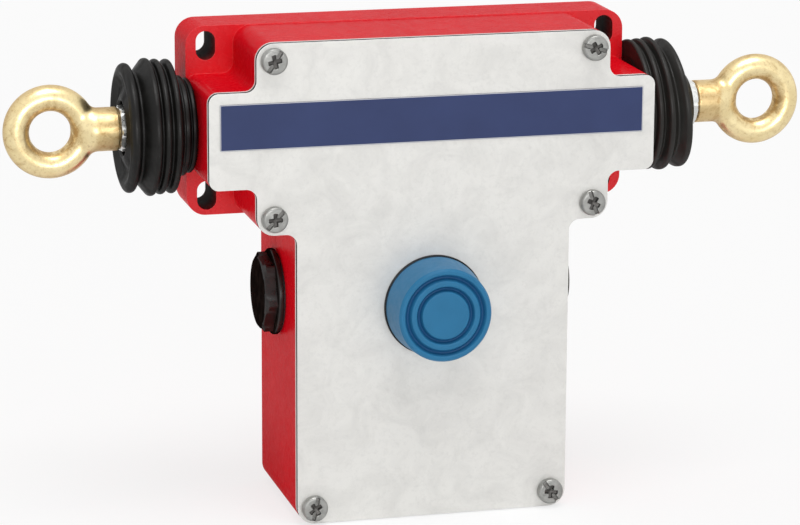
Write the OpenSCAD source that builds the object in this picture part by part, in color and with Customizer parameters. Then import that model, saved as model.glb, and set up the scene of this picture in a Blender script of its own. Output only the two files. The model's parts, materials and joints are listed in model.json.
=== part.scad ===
// Double-ended rope pull switch for machine guarding.
// Frame: origin at the centre of the wall face, on the level of the rope shaft.
// X runs along the rope, +Y points into the wall, -Y is the front, +Z is up.
// "Depth" means distance from the wall face towards the front.

/* [Housing] */
// Width across the two arms
arms_w = 140; // [134:0.5:150]
// Height of each arm
arm_h = 29.6; // [28:0.2:33]
// Width of the upper block
block_w = 110.8; // [104:0.2:116]
// Height of the upper block
block_h = 58.8; // [56:0.2:66]
// Width of the lower body
lower_w = 86.2; // [82:0.2:96]
// Height of the lower body below the block
lower_h = 92.1; // [90:0.1:104]
// Depth of the housing without gasket and cover
housing_d = 47.6; // [46:0.2:54]
// Thickness of the rear wall
rear_wall = 4.5; // [4:0.1:5.5]
// Thickness of the side walls
side_wall = 3.5; // [2.8:0.1:4.2]
// Thickness of the end wall of each arm
end_wall = 8; // [6:0.5:10]
// Depth of the wall flange
flange_t = 17; // [13:0.5:20]
// How far the flange stands proud of the body
flange_lip = 0.3; // [0.1:0.1:0.8]
// Radius of the flange ears
ear_r = 6; // [5:0.5:8]
// Radius of the arm corners
arm_r = 3; // [2:0.5:4]
// Radius of the block and lower corners
block_r = 5.3; // [4:0.1:6.5]
// Radius of the inside corners of the outline
notch_r = 3.4; // [2:0.2:4.4]

/* [Wall slots] */
// Distance between the slots along X
slot_pitch_x = 128; // [126:0.5:129]
// Distance between the slots along Z
slot_pitch_z = 47; // [45:0.5:48]
// Width of each slot
slot_w = 6; // [5:0.2:6.6]
// End-to-end length of each slot
slot_len = 9; // [8:0.2:10]

/* [Cover] */
// Thickness of the gasket
gasket_t = 1.2; // [0.8:0.1:1.8]
// How far the gasket stands back from the outline
gasket_inset = 0.3; // [0.1:0.1:0.6]
// Thickness of the cover plate
cover_t = 1.7; // [1.2:0.1:2.5]
// Distance of the cover screws from the two edges
screw_inset = 5.2; // [4.8:0.1:5.8]
// Thread diameter of the cover screws
screw_d = 4; // [3.5:0.1:4.4]
// Head diameter of the cover screws
screw_head_d = 8; // [7.4:0.1:8.6]
// Head height of the cover screws
screw_head_h = 2.6; // [2:0.1:3]
// Thread length of the cover screws below the cover
screw_len = 11; // [8:0.5:16]
// Diameter of the screw bosses
boss_d = 10.4; // [9.4:0.2:11]
// Width of the coloured band
band_w = 132.4; // [100:0.2:133]
// Height of the coloured band
band_h = 13.7; // [8:0.1:16]
// Height of the band's centre above the shaft
band_z = 4.35; // [0:0.05:6]
// Thickness of the band
band_t = 0.3; // [0.2:0.05:0.5]

/* [Rope shaft] */
// Depth of the shaft axis
axis_d = 22; // [21:0.1:23.5]
// Diameter of the shaft
shaft_d = 8; // [7:0.1:8.6]
// Running clearance of shafts and pins on the radius
run_gap = 0.05; // [0.02:0.01:0.1]
// Small gap between pieces that are fitted together
fit_gap = 0.1; // [0.05:0.01:0.2]
// Travel of the shaft to each side
shaft_travel = 7; // [5:0.5:7]
// Outer diameter of the bushes
bush_d = 12; // [11:0.2:13]
// Diameter of the bush flanges
bush_flange_d = 16; // [15.4:0.2:18]
// Thickness of the bush flanges
bush_flange_t = 1.5; // [1:0.1:2]
// Length of the spigots that hold the boots
spigot_l = 3.6; // [3:0.1:4.4]
// Diameter of the spigots
spigot_d = 21; // [19:0.2:22]
// Thickness of the washers on the shaft
washer_t = 1.6; // [1.2:0.1:2]
// Diameter of the washers on the shaft
washer_d = 16; // [14:0.2:17]
// Width across flats of the lock nuts
nut_af = 13; // [12:0.2:14]
// Thickness of the lock nuts
nut_t = 5; // [4:0.1:6]

/* [Rope eyes] */
// Distance of each eye's seat from the middle
eye_seat = 92.5; // [92:0.5:97]
// Distance from the seat to the middle of the ring
eye_reach = 20.8; // [19:0.1:23]
// Diameter of the ring's centre line
eye_ring_d = 20.8; // [20:0.2:23]
// Thickness of the ring
eye_wire_d = 8; // [7:0.1:8.6]
// Diameter of the shank
eye_shank_d = 13.4; // [12:0.1:14.4]
// Thread depth in the shank
eye_thread = 9; // [7:0.1:9.4]

/* [Rubber boots] */
// How far the left boot's lip stands out past its hub
lip_out_left = 5.2; // [4.2:0.1:5.6]
// How far the right boot's lip stands out past its hub
lip_out_right = 1.6; // [0.8:0.1:5.2]
// Diameter over the folds
fold_d = 42.2; // [38:0.2:44]
// Diameter of the deep groove behind the lip
groove_d = 32.8; // [30:0.2:35]
// Diameter of the lip
lip_d = 39.4; // [36:0.2:41]
// Diameter of the neck ring next to the arm
neck_d = 28.4; // [27:0.2:30]
// Thickness of the rubber
boot_wall = 1.6; // [1.2:0.1:2]
// Length of the hub on the shaft
hub_l = 3.6; // [3:0.1:4]
// Diameter of the hub on the shaft
hub_d = 15; // [14:0.2:17]

/* [Trip collar and springs] */
// Diameter of the collar's rim
rim_d = 22; // [20:0.2:22.4]
// Width of the rim
rim_w = 6; // [5:0.2:7]
// Diameter of the collar's hub
collar_d = 15; // [14:0.2:16]
// Length of the collar's hub
collar_l = 24; // [20:0.5:28]
// Diameter of the drive pin through the collar
drive_pin_d = 4; // [3.4:0.1:4.4]
// Diameter of the spring seats
seat_d = 19; // [17:0.2:20]
// Thickness of the spring seats
seat_t = 2; // [1.5:0.1:3]
// Wire of the centring springs
spring_wire = 1.8; // [1.4:0.1:2]
// Mean diameter of the centring springs
spring_d = 13.2; // [12.4:0.1:13.6]
// Turns of the centring springs
spring_turns = 9; // [7:1:11]

/* [Rocker] */
// Height from the rocker's pivot up to the drive pin
rocker_up = 36; // [34:0.5:38]
// Height from the rocker's pivot down to the contact drive
rocker_down = 32; // [30:0.5:34]
// Thickness of the rocker
rocker_t = 3; // [2:0.1:3.2]
// Diameter of the rocker's pivot
rocker_pin_d = 5; // [4:0.1:6]
// Diameter of the rocker's hub
rocker_hub_d = 12; // [11:0.2:14]
// Side play of the forks on their pins
fork_gap = 0.3; // [0.25:0.05:0.5]
// Width of each fork
fork_w = 12; // [11:0.2:14]

/* [Latch and bracket] */
// Thickness of the bracket's sheet
sheet_t = 1.8; // [1.4:0.1:2]
// Distance between the bracket's cheeks
bracket_gap = 26.4; // [25:0.2:30]
// Height of the latch pivot below the shaft
latch_drop = 30; // [29:0.5:31]
// Depth of the latch pivot
latch_d = 35; // [34.8:0.1:36]
// Diameter of the latch pin
latch_pin_d = 4; // [3.4:0.1:4.4]
// Thickness of the latch lever
latch_t = 2; // [1.6:0.1:2.2]
// Width of the latch lever
latch_w = 12; // [9:0.2:13]
// Width of the latch nose
nose_w = 3; // [2:0.1:4]
// Gap between parts that move past each other
move_gap = 0.3; // [0.25:0.05:0.4]
// How far the bracket's cheeks reach below the latch pivot
cheek_below = 14; // [13:0.5:15]
// How far the bracket's cheeks reach above the latch pivot
cheek_above = 6; // [5.5:0.5:7]
// Height of the latch's elbow above the middle of its push pad
elbow_rise = 10; // [9:0.5:12]
// Half height of the latch's push pad
pad_half = 4; // [3:0.5:5]
// Wire of the latch spring
latch_wire = 1; // [0.8:0.1:1]
// Turns of the latch spring
latch_turns = 4; // [3:1:4]

/* [Reset button] */
// Height of the button below the shaft
reset_drop = 54; // [53:0.5:55]
// Diameter of the button's barrel
barrel_d = 22; // [20:0.1:23]
// Length of the barrel behind the cover
barrel_l = 14.8; // [13:0.1:15]
// Width of the flange's ledge round the barrel
flange_ledge = 2.8; // [2.4:0.1:3]
// Thickness of the boot's foot round the barrel's flange
boot_grip_t = 1.7; // [1.5:0.05:2]
// Thickness of the barrel's flange
reset_flange_t = 2; // [1.6:0.1:2.4]
// Thickness of the seal below the flange
reset_seal_t = 0.5; // [0.3:0.05:0.8]
// Diameter of the boot at its face
cap_face_d = 28.8; // [28:0.1:30]
// Height of the boot above the cover
cap_h = 14; // [13:0.1:16]
// Thickness of the boot
cap_wall = 1.2; // [0.9:0.05:1.4]
// Travel of the button
reset_travel = 4; // [3:0.1:4]
// Length of the plunger's stem behind its clip
stem_tip = 4.8; // [4.4:0.1:5.2]
// Diameter of the plunger's stem
stem_d = 8; // [7:0.1:8.6]
// Diameter of the plunger's head
head_d = 23; // [20:0.1:24]
// Across flats of the nut behind the cover
reset_nut_af = 28; // [26:0.2:29]
// Thickness of the nut behind the cover
reset_nut_t = 4; // [3:0.1:5]
// Wire of the return spring
reset_wire = 1.2; // [0.9:0.1:1.4]
// Mean diameter of the return spring
reset_spring_d = 11.2; // [10.6:0.1:12]

/* [Contact block] */
// Width of the contact block
contact_w = 48; // [46:0.5:52]
// Height of the contact block
contact_h = 28; // [27.5:0.1:30]
// Depth of the front face of the contact block
contact_d = 33; // [31:0.5:35]
// Distance between the inner terminals
terminal_inner = 15; // [14:0.2:16]
// Distance between the outer terminals
terminal_outer = 37; // [36:0.2:38]
// Thickness of the contact strips
strip_t = 0.8; // [0.5:0.05:1]
// Width of each terminal
terminal_pad_w = 6; // [5:0.2:6.4]
// Length of the terminal screws
terminal_screw_l = 9; // [7:0.5:10]
// Length of the contact carriage
carriage_w = 20; // [18:0.2:20.4]

/* [Cable entries] */
// Thread diameter of the cable entries
entry_d = 20; // [18:0.2:21]
// Diameter of the collar round each entry, inside
entry_boss_d = 27; // [25:0.2:28]
// Depth of the entry's thread
entry_l = 8.6; // [7:0.1:10]
// Diameter of the plug's flange
plug_flange_d = 27; // [25:0.2:28]
// Thickness of the plug's flange
plug_flange_t = 1.6; // [1:0.1:2.4]
// Width across flats of the plug's hexagon
plug_af = 22; // [20:0.2:22.6]
// Height of the plug's hexagon
plug_hex_h = 3.9; // [3:0.1:5]
// Thickness of the plug's seal
plug_seal_t = 0.6; // [0.4:0.1:1]

/* [Hidden] */
$fn = 64;
// A little more than nothing, so that a cut runs past the face it opens
eps = 0.01;

// Finishes
red_paint = "#C4161C";
steel = "#DEDEDA";
zinc = "#B9BABA";
brass = "#D9B45A";
rubber_black = "#26262A";
button_blue = "#3A7CAB";
band_blue = "#475172";
copper = "#B87845";
moulded_black = "#2E2A2A";
moulded_grey = "#8C8F92";

// Housing
arm_x = arms_w / 2;
block_x = block_w / 2;
lower_x = lower_w / 2;
arm_z = arm_h / 2;
block_z = block_h / 2;
floor_z = -block_z - lower_h;
cover_in = housing_d + gasket_t;
cover_out = cover_in + cover_t;
boss_r = boss_d / 2;
screw_r = screw_d / 2;
cover_hole_r = screw_r + 0.25;
screw_spots = [
  for (s = [-1, 1]) [s * (block_x - screw_inset), block_z - screw_inset],
  for (s = [-1, 1]) [s * (block_x - screw_inset), screw_inset - block_z],
  for (s = [-1, 1]) [s * (lower_x - screw_inset), floor_z + screw_inset]
];
screw_turns = [38, -14, 8, 62, 52, 20];

// Rope shaft
shaft_r = shaft_d / 2;
bush_in = arm_x - end_wall - bush_flange_t;
spigot_x = arm_x + spigot_l;
bush_out = spigot_x + 1;
eye_x = eye_seat + eye_reach;
shaft_end = eye_seat + eye_thread - 0.5;
nut_in = eye_seat - nut_t;
washer_in = nut_in - washer_t;
hub_out = washer_in - fit_gap;

// Trip collar and centring springs
rim_r = rim_d / 2;
seat_in = collar_l / 2;
seat_out = seat_in + seat_t;

// Rocker: it lies behind the shaft, just in front of the bracket's base
base_d = rear_wall + sheet_t;
rocker_back = base_d + move_gap;
rocker_front = rocker_back + rocker_t;
rocker_z = -rocker_up;
drive_z = rocker_z - rocker_down;
rocker_pin_r = rocker_pin_d / 2;
drive_pin_r = drive_pin_d / 2;
rocker_clip_t = 0.8;
rocker_clip_d = rocker_front + 0.4;

// Latch
latch_z = -latch_drop;
latch_pin_r = latch_pin_d / 2;
cheek_in = bracket_gap / 2;
cheek_out = cheek_in + sheet_t;
rim_front = axis_d + rim_r;
nose_tip = rim_front + move_gap;
latch_back = nose_tip + 2;
latch_front = latch_back + latch_t;
latch_hub_r = latch_pin_r + 2;
latch_coil_r = 3.2;
clip_t = 0.8;

// Reset button
reset_z = -reset_drop;
barrel_r = barrel_d / 2;
barrel_back = cover_in - barrel_l;
reset_flange_d = barrel_d + 2 * flange_ledge;
cap_base_d = reset_flange_d + 2 * boot_grip_t;
reset_flange_back = cover_out + reset_seal_t;
reset_flange_front = reset_flange_back + reset_flange_t;
cap_front = cover_out + cap_h;
head_front = cap_front - cap_wall - 0.2;
head_t = 2;
head_back = head_front - head_t;
ledge_d = cover_in - 2.3;
well_r = reset_spring_d / 2 + reset_wire / 2 + 1.4;
stem_r = stem_d / 2;
plunger_clip_t = 0.9;
plunger_clip_front = barrel_back - move_gap;
tip_d = plunger_clip_front - plunger_clip_t - stem_tip;
pad_front = tip_d - move_gap;
pad_back = pad_front - latch_t;

// Contact block: the carriage runs behind it, in the rocker's plane
block_top = drive_z - 8;
block_bottom = block_top - contact_h;
step_z = block_top - 16;
channel_floor = block_top - 10;
drive_head_r = 2;
drive_travel = shaft_travel * rocker_down / rocker_up;
carriage_x = carriage_w / 2;
channel_x = carriage_x + drive_travel + 0.8;
carriage_back = rear_wall + move_gap;
carriage_front = rocker_front + 1.6;
bridge_t = 0.6;
strip_back = carriage_front + bridge_t + 0.4;
strip_front = strip_back + strip_t;
channel_front = strip_back + 0.4;
lid_t = 1.4;
lid_d = channel_front + 2;
circuit_z = [block_top - 3, block_top - 7];
terminal_x = [terminal_outer / 2, terminal_inner / 2];
strip_h = 2;
foot_bottom = block_top - 19;
terminal_z = block_top - 15;
terminal_r = 1.7;
foot_front = contact_d + strip_t;
clamp_t = 1.1;
clamp_front = foot_front + clamp_t;
standoff_d = rear_wall + 4;
block_screw_x = contact_w / 2 - 5;
block_screw_z = block_bottom + 4.5;
block_screw_head = 16;
earth_x = -(lower_x - 12.6);
earth_z = floor_z + 13;
earth_boss_d = rear_wall + 7.5;

// Cable entries
entry_r = entry_d / 2;
entry_z = reset_z;
// Where a plug stops turning: one corner of its hexagon points this far below the front
plug_turn = 8;

// ---------------------------------------------------------------- helpers

// Solid between two depths, from an outline drawn in X and Z
module slab(from, to) {
  translate([0, -from, 0])
    rotate([90, 0, 0])
      linear_extrude(to - from)
        children();
}

// Rod along the rope's direction, on the shaft axis
module rod_x(r, from, to) {
  translate([from, -axis_d, 0])
    rotate([0, 90, 0])
      cylinder(r = r, h = to - from);
}

// Turned shape on the shaft axis: the outline's x is the radius, its y runs along X
module turned_x() {
  translate([0, -axis_d, 0])
    rotate([0, 90, 0])
      rotate_extrude()
        children();
}

// Turned shape about an axis towards the front: the outline's y is the depth
module turned_y(x, z) {
  translate([x, 0, z])
    rotate([90, 0, 0])
      rotate_extrude()
        children();
}

// Copy on the left side as it stands and on the right side mirrored
module at_side(side) {
  if (side < 0) {
    mirror([1, 0, 0]) children();
  } else {
    children();
  }
}

// Rectangle with true round corners
module round_rect(w, h, r) {
  square([w - 2 * r, h], center = true);
  square([w, h - 2 * r], center = true);
  for (x = [-1, 1], y = [-1, 1]) {
    translate([x * (w / 2 - r), y * (h / 2 - r)]) circle(r);
  }
}

// Fillet that fills an inside corner at [x, z], opening towards sx and sz
module corner_fill(x, z, sx, sz, r) {
  difference() {
    translate([x + sx * (r / 2 - 0.05), z + sz * (r / 2 - 0.05)]) square(r + 0.1, center = true);
    translate([x + sx * r, z + sz * r]) circle(r);
  }
}

// Washer or ring between two depths
module ring_y(x, z, r_out, r_in, from, to) {
  slab(from, to) {
    translate([x, z]) difference() {
      circle(r_out);
      circle(r_in);
    }
  }
}

// Open clip that snaps into a groove, between two depths
module clip_outline(r_out, r_in) {
  difference() {
    circle(r_out);
    circle(r_in);
    translate([0, -r_out]) square([1.2 * r_in, 2 * r_out], center = true);
  }
}

// Arc of points round a centre, in the radius and length of a turned outline
function arc(cx, cy, r, a0, a1, n) = [
  for (i = [0 : n]) let (a = a0 + (a1 - a0) * i / n) [cx + r * cos(a), cy + r * sin(a)]
];

// Round wire swept along a path: each entry is [centre, outward direction], about local Z
module wire(path, r, sides = 6) {
  n = len(path);
  points = [
    for (p = path) for (j = [0 : sides - 1])
      p[0] + r * cos(360 * j / sides) * p[1] + r * sin(360 * j / sides) * [0, 0, 1]
  ];
  skin = [
    for (i = [0 : n - 2]) for (j = [0 : sides - 1])
      let (k = (j + 1) % sides) each [
        [i * sides + j, (i + 1) * sides + j, (i + 1) * sides + k],
        [i * sides + j, (i + 1) * sides + k, i * sides + k]
      ]
  ];
  first = [for (j = [0 : sides - 1]) j];
  last = [for (j = [sides - 1 : -1 : 0]) (n - 1) * sides + j];
  polyhedron(points = points, faces = concat(skin, [first, last]), convexity = 10);
}

// Path of a compression spring with closed ends: the rise eases in and out over one turn
function coil_rise(s, turns) = let (e = 1 / turns, left = 1 - s)
  (s < e ? s * s / (2 * e) : left < e ? 1 - e - left * left / (2 * e) : s - e / 2) / (1 - e);
function coil_path(r, length, turns, steps = 14) = [
  for (i = [0 : turns * steps])
    let (a = 360 * i / steps, out = [cos(a), sin(a), 0])
      [r * out + [0, 0, length * coil_rise(i / (turns * steps), turns)], out]
];

// Compression spring that fills the length between its two seats
module coil_spring(d, wire_d, length, turns) {
  translate([0, 0, wire_d / 2 + 0.05]) wire(coil_path(d / 2, length - wire_d - 0.1, turns), wire_d / 2);
}

// Hexagon with turned chamfers on the given end, along local Z; flats face local X
module chamfered_hex(af, h, bore_r = 0) {
  corner_r = af / sqrt(3);
  rise = corner_r - af / 2;
  difference() {
    intersection() {
      rotate([0, 0, 30]) cylinder(r = corner_r, h = h, $fn = 6);
      cylinder(r1 = corner_r + h * 2 - rise * 0.4, r2 = af / 2 + rise * 0.2, h = h);
    }
    if (bore_r > 0) translate([0, 0, -1]) cylinder(r = bore_r, h = h + 2);
  }
}

// ---------------------------------------------------------------- housing

// T-shaped outline of the cover and of the body behind it
module face_outline(inset = 0) {
  round_rect(arms_w - 2 * inset, arm_h - 2 * inset, arm_r);
  round_rect(block_w - 2 * inset, block_h - 2 * inset, block_r);
  translate([0, floor_z / 2])
    round_rect(lower_w - 2 * inset, -floor_z - 2 * inset, block_r);
  for (s = [-1, 1]) {
    for (t = [-1, 1]) {
      corner_fill(s * (block_x - inset), t * (arm_z - inset), s, t, notch_r);
    }
    corner_fill(s * (lower_x - inset), inset - block_z, s, -1, notch_r);
  }
}

// Outline of the hollow inside
module hollow_outline() {
  inner_r = 2;
  round_rect(arms_w - 2 * end_wall, arm_h - 2 * side_wall, inner_r);
  round_rect(block_w - 2 * side_wall, block_h - 2 * side_wall, inner_r);
  translate([0, (floor_z + side_wall) / 2])
    round_rect(lower_w - 2 * side_wall, -floor_z - side_wall, inner_r);
}

module slot_outline() {
  for (z = [-1, 1]) {
    translate([0, z * (slot_len - slot_w) / 2]) circle(slot_w / 2);
  }
  square([slot_w, slot_len - slot_w], center = true);
}

module screw_points() {
  for (p = screw_spots) {
    translate(p) children();
  }
}

// Collar round a cable entry, on the inside of the side wall
module entry_boss() {
  translate([lower_x - entry_l, -axis_d, entry_z])
    rotate([0, 90, 0])
      cylinder(r = entry_boss_d / 2, h = entry_l - side_wall / 2);
}

// Die-cast body: wall flange with four ears, T-shaped tray, arm ends with spigots
module housing() {
  spigot_bead = 0.5;
  color(red_paint)
  difference() {
    union() {
      difference() {
        union() {
          slab(0, housing_d) face_outline();
          slab(0, flange_t) round_rect(arms_w + 2 * flange_lip, block_h + 2 * flange_lip, ear_r);
        }
        slab(rear_wall, housing_d + 1) hollow_outline();
      }
      slab(rear_wall - 1, housing_d) intersection() {
        screw_points() circle(boss_r);
        face_outline(side_wall / 2);
      }
      for (side = [-1, 1]) {
        at_side(side) turned_x() polygon([
          [0, arm_x - 1], [spigot_d / 2, arm_x - 1], [spigot_d / 2, spigot_x - 1.4],
          [spigot_d / 2 + spigot_bead, spigot_x - 0.9], [spigot_d / 2, spigot_x], [0, spigot_x]
        ]);
        at_side(side) entry_boss();
        translate([side * block_screw_x, 0, block_screw_z]) slab(rear_wall - 1, standoff_d) circle(4.5);
      }
      translate([earth_x, 0, earth_z]) slab(rear_wall - 1, earth_boss_d) circle(5);
    }
    for (x = [-1, 1], z = [-1, 1]) {
      translate([x * slot_pitch_x / 2, 0, z * slot_pitch_z / 2]) slab(-1, flange_t + 1) slot_outline();
    }
    slab(cover_in - screw_len - 2, housing_d + 1) screw_points() circle(screw_r + run_gap);
    for (side = [-1, 1]) {
      at_side(side) rod_x(bush_d / 2 + run_gap, arm_x - end_wall - 1, spigot_x + 1);
      at_side(side) translate([lower_x - entry_l - 1, -axis_d, entry_z])
        rotate([0, 90, 0])
          cylinder(r = entry_r + run_gap, h = entry_l + 2);
      translate([side * block_screw_x, 0, block_screw_z]) slab(1.8, standoff_d + 1) circle(screw_r + run_gap);
      translate([side * bracket_screw_x(), 0, bracket_screw_z()]) slab(1.2, rear_wall + 1) circle(1.5 + run_gap);
    }
    translate([earth_x, 0, earth_z]) slab(2, earth_boss_d + 1) circle(screw_r + run_gap);
  }
}

// ---------------------------------------------------------------- cover

module cover_gasket() {
  color("#E6E4DE")
  slab(housing_d, cover_in) difference() {
    face_outline(gasket_inset);
    difference() {
      hollow_outline();
      screw_points() circle(boss_r);
    }
    screw_points() circle(cover_hole_r);
  }
}

module cover_plate() {
  color(steel)
  slab(cover_in, cover_out) difference() {
    face_outline();
    screw_points() circle(cover_hole_r);
    translate([0, reset_z]) circle(barrel_r + fit_gap);
  }
}

module cover_band() {
  color(band_blue)
  slab(cover_out, cover_out + band_t) translate([0, band_z]) round_rect(band_w, band_h, 0.5);
}

// Pan-head screw along -Y with a straight slot and a cross recess, seated at depth 0
module machine_screw(d, length, head_r, head_h) {
  difference() {
    rotate([90, 0, 0]) rotate_extrude() polygon(concat(
      [[0, -length], [d / 2 - 0.4, -length], [d / 2, 0.4 - length], [d / 2, 0]],
      [[head_r - 0.2, 0], [head_r, 0.3]],
      arc(head_r - 0.9, head_h - 0.9, 0.9, 0, 90, 5),
      [[0, head_h]]
    ));
    translate([0, -head_h, 0]) cube([2 * head_r + 1, 0.5 * head_h, 0.28 * head_r], center = true);
    for (a = [45, 135]) {
      translate([0, -head_h, 0]) rotate([0, a, 0])
        cube([1.15 * head_r, 0.9 * head_h, 0.2 * head_r], center = true);
    }
  }
}

module cover_screws() {
  color(zinc)
  for (i = [0 : len(screw_spots) - 1]) {
    translate([screw_spots[i][0], -cover_out, screw_spots[i][1]])
      rotate([0, screw_turns[i], 0])
        machine_screw(screw_d, screw_len + cover_t, screw_head_d / 2, screw_head_h);
  }
}

// ---------------------------------------------------------------- rope shaft

module bush(side) {
  color("#A9824A")
  at_side(side) turned_x() polygon([
    [shaft_r + run_gap, bush_in], [bush_flange_d / 2, bush_in], [bush_flange_d / 2, arm_x - end_wall],
    [bush_d / 2, arm_x - end_wall], [bush_d / 2, bush_out], [shaft_r + run_gap, bush_out]
  ]);
}

// Bellows: neck on the spigot, three folds, a deep groove and a flared lip round the hub
module boot(side, reach) {
  start = arm_x + flange_lip + 0.05;
  span = reach - arm_x;
  spigot_fit = spigot_d / 2 + 0.6;
  fold_r = fold_d / 2;
  groove_r = groove_d / 2;
  lip_r = lip_d / 2;
  neck_r = neck_d / 2;
  fold_x = [for (f = [0.3, 0.465, 0.625]) arm_x + f * span];
  fold_peak = [fold_r - 0.6, fold_r - 0.6, fold_r];
  groove_x = arm_x + 0.815 * span;
  bend = 1.05;
  outer = concat(
    [[neck_r - 1, start]],
    arc(neck_r - 0.8, start + 0.8, 0.8, -90, 60, 4),
    arc(neck_r + 0.1, start + 2.3, 0.8, -60, 60, 4),
    [[neck_r - 0.2, fold_x[0] - 2.2]],
    [for (i = [0 : 2]) each arc(fold_peak[i] - bend, fold_x[i], bend, -70, 70, 6)],
    [[groove_r + 0.5, groove_x - 0.9], [groove_r, groove_x], [groove_r + 0.4, groove_x + 0.8]],
    arc(lip_r - 1.5, reach - 0.6, 1.5, -50, 150, 9)
  );
  inner = concat(
    [[groove_r - 1.2, hub_out - 1.2], [hub_d / 2, hub_out]],
    [[shaft_r + fit_gap, hub_out], [shaft_r + fit_gap, hub_out - hub_l], [hub_d / 2, hub_out - hub_l]],
    [[groove_r - boot_wall - 0.6, hub_out - hub_l + 0.4], [fold_r - boot_wall - 1.2, fold_x[2] + 0.2]],
    [[fold_r - boot_wall - 1.4, fold_x[0]], [neck_r - 1, fold_x[0] - 1.9]],
    [[spigot_fit + 0.4, spigot_x + 0.4]],
    [[spigot_fit, spigot_x], [spigot_fit, start]]
  );
  color(rubber_black) at_side(side) turned_x() polygon(concat(outer, inner));
}

module pull_shaft() {
  color("#9EA0A2")
  difference() {
    union() {
      rod_x(shaft_r, -shaft_end + 0.8, shaft_end - 0.8);
      for (side = [-1, 1]) {
        at_side(side) translate([shaft_end - 0.8, -axis_d, 0])
          rotate([0, 90, 0])
            cylinder(r1 = shaft_r, r2 = shaft_r - 0.8, h = 0.8);
      }
    }
    slab(0, 2 * axis_d) circle(drive_pin_r + run_gap);
  }
}

// Sleeve with a rim that the latch rides on
module trip_collar() {
  color("#7D8286")
  difference() {
    turned_x() polygon([
      [shaft_r + run_gap, -seat_in], [collar_d / 2 - 0.6, -seat_in], [collar_d / 2, 0.6 - seat_in],
      [collar_d / 2, -rim_w / 2], [rim_r, -rim_w / 2], [rim_r, rim_w / 2], [collar_d / 2, rim_w / 2],
      [collar_d / 2, seat_in - 0.6], [collar_d / 2 - 0.6, seat_in], [shaft_r + run_gap, seat_in]
    ]);
    slab(0, axis_d + collar_d / 2 - 1.5) circle(drive_pin_r + run_gap);
  }
}

// Pin that fixes the collar on the shaft and drives the rocker's upper fork
module drive_pin() {
  color(zinc)
  slab(rocker_back - 0.2, axis_d + collar_d / 2 - 1.6) circle(drive_pin_r);
}

module spring_seat(side) {
  color(zinc)
  at_side(side) turned_x() polygon([
    [shaft_r + fit_gap, seat_in], [seat_d / 2, seat_in], [seat_d / 2, seat_out + 1],
    [seat_d / 2 - 0.8, seat_out + 1], [seat_d / 2 - 0.8, seat_out], [shaft_r + fit_gap, seat_out]
  ]);
}

module centring_spring(side) {
  color("#8B8F92")
  at_side(side) translate([seat_out, -axis_d, 0])
    rotate([0, 90, 0])
      coil_spring(spring_d, spring_wire, bush_in - seat_out, spring_turns);
}

module washer(side) {
  color(zinc)
  at_side(side) difference() {
    rod_x(washer_d / 2, washer_in, nut_in);
    rod_x(shaft_r + fit_gap, washer_in - 1, nut_in + 1);
  }
}

module lock_nut(side) {
  color("#D8D9D6")
  at_side(side) translate([nut_in, -axis_d, 0])
    rotate([0, 90, 0])
      chamfered_hex(nut_af, nut_t, shaft_r + run_gap);
}

// Forged eye: round ring, thick shank with a blind thread
module rope_eye(side) {
  shank_r = eye_shank_d / 2;
  wire_r = eye_wire_d / 2;
  ring_r = eye_ring_d / 2;
  taper_x = eye_x - ring_r - wire_r + 1.6;
  color(brass)
  at_side(side) difference() {
    union() {
      translate([eye_x, -axis_d, 0]) rotate([90, 0, 0]) rotate_extrude() translate([ring_r, 0]) circle(wire_r);
      turned_x() polygon([
        [0, eye_seat], [shank_r - 0.5, eye_seat], [shank_r, eye_seat + 0.5], [shank_r, taper_x],
        [wire_r + 0.4, taper_x + 4.6], [0, taper_x + 4.6]
      ]);
    }
    rod_x(shaft_r + run_gap, eye_seat - 1, eye_seat + eye_thread);
  }
}

// ---------------------------------------------------------------- mechanism

function bracket_screw_x() = cheek_out + 6;
function bracket_screw_z() = latch_z - 2;

// Bent sheet: base on the rear wall, two cheeks that carry the latch pin, two screw tabs
module mechanism_bracket() {
  cheek_low = latch_z - cheek_below;
  cheek_high = latch_z + cheek_above;
  tab_z = bracket_screw_z();
  cheek_ear_r = latch_pin_r + 3.4;
  stop_front = latch_d + latch_coil_r - latch_wire / 2 - fit_gap;
  color("#A8ABA9")
  difference() {
    union() {
      slab(rear_wall, base_d) {
        translate([0, (cheek_low + cheek_high) / 2]) round_rect(2 * cheek_out, cheek_high - cheek_low, 1);
        translate([0, tab_z]) round_rect(2 * bracket_screw_x() + 9, 9, 2);
      }
      for (side = [-1, 1]) {
        at_side(side) translate([cheek_in, 0, 0]) rotate([90, 0, 90]) linear_extrude(sheet_t) hull() {
          translate([-rear_wall - 0.5, cheek_low + 0.5]) square([0.5, cheek_high - cheek_low - 1]);
          translate([-latch_d, latch_z]) circle(cheek_ear_r, $fn = 32);
        }
      }
      translate([cheek_in - 2.2, -stop_front, latch_z - 6.2]) cube([2.7, 2, 2.2]);
    }
    translate([-cheek_out - 1, -latch_d, latch_z]) rotate([0, 90, 0])
      cylinder(r = latch_pin_r + 0.02, h = 2 * cheek_out + 2);
    slab(rear_wall - 1, base_d + 1) {
      translate([0, rocker_z]) circle(rocker_pin_r + 0.02);
      for (side = [-1, 1]) {
        translate([side * bracket_screw_x(), tab_z]) circle(1.7);
      }
    }
  }
}

module bracket_screws() {
  color(zinc)
  for (side = [-1, 1]) {
    translate([side * bracket_screw_x(), -base_d, bracket_screw_z()])
      rotate([0, 30 * side, 0])
        machine_screw(3, base_d - 1.5, 2.8, 2);
  }
}

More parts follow.
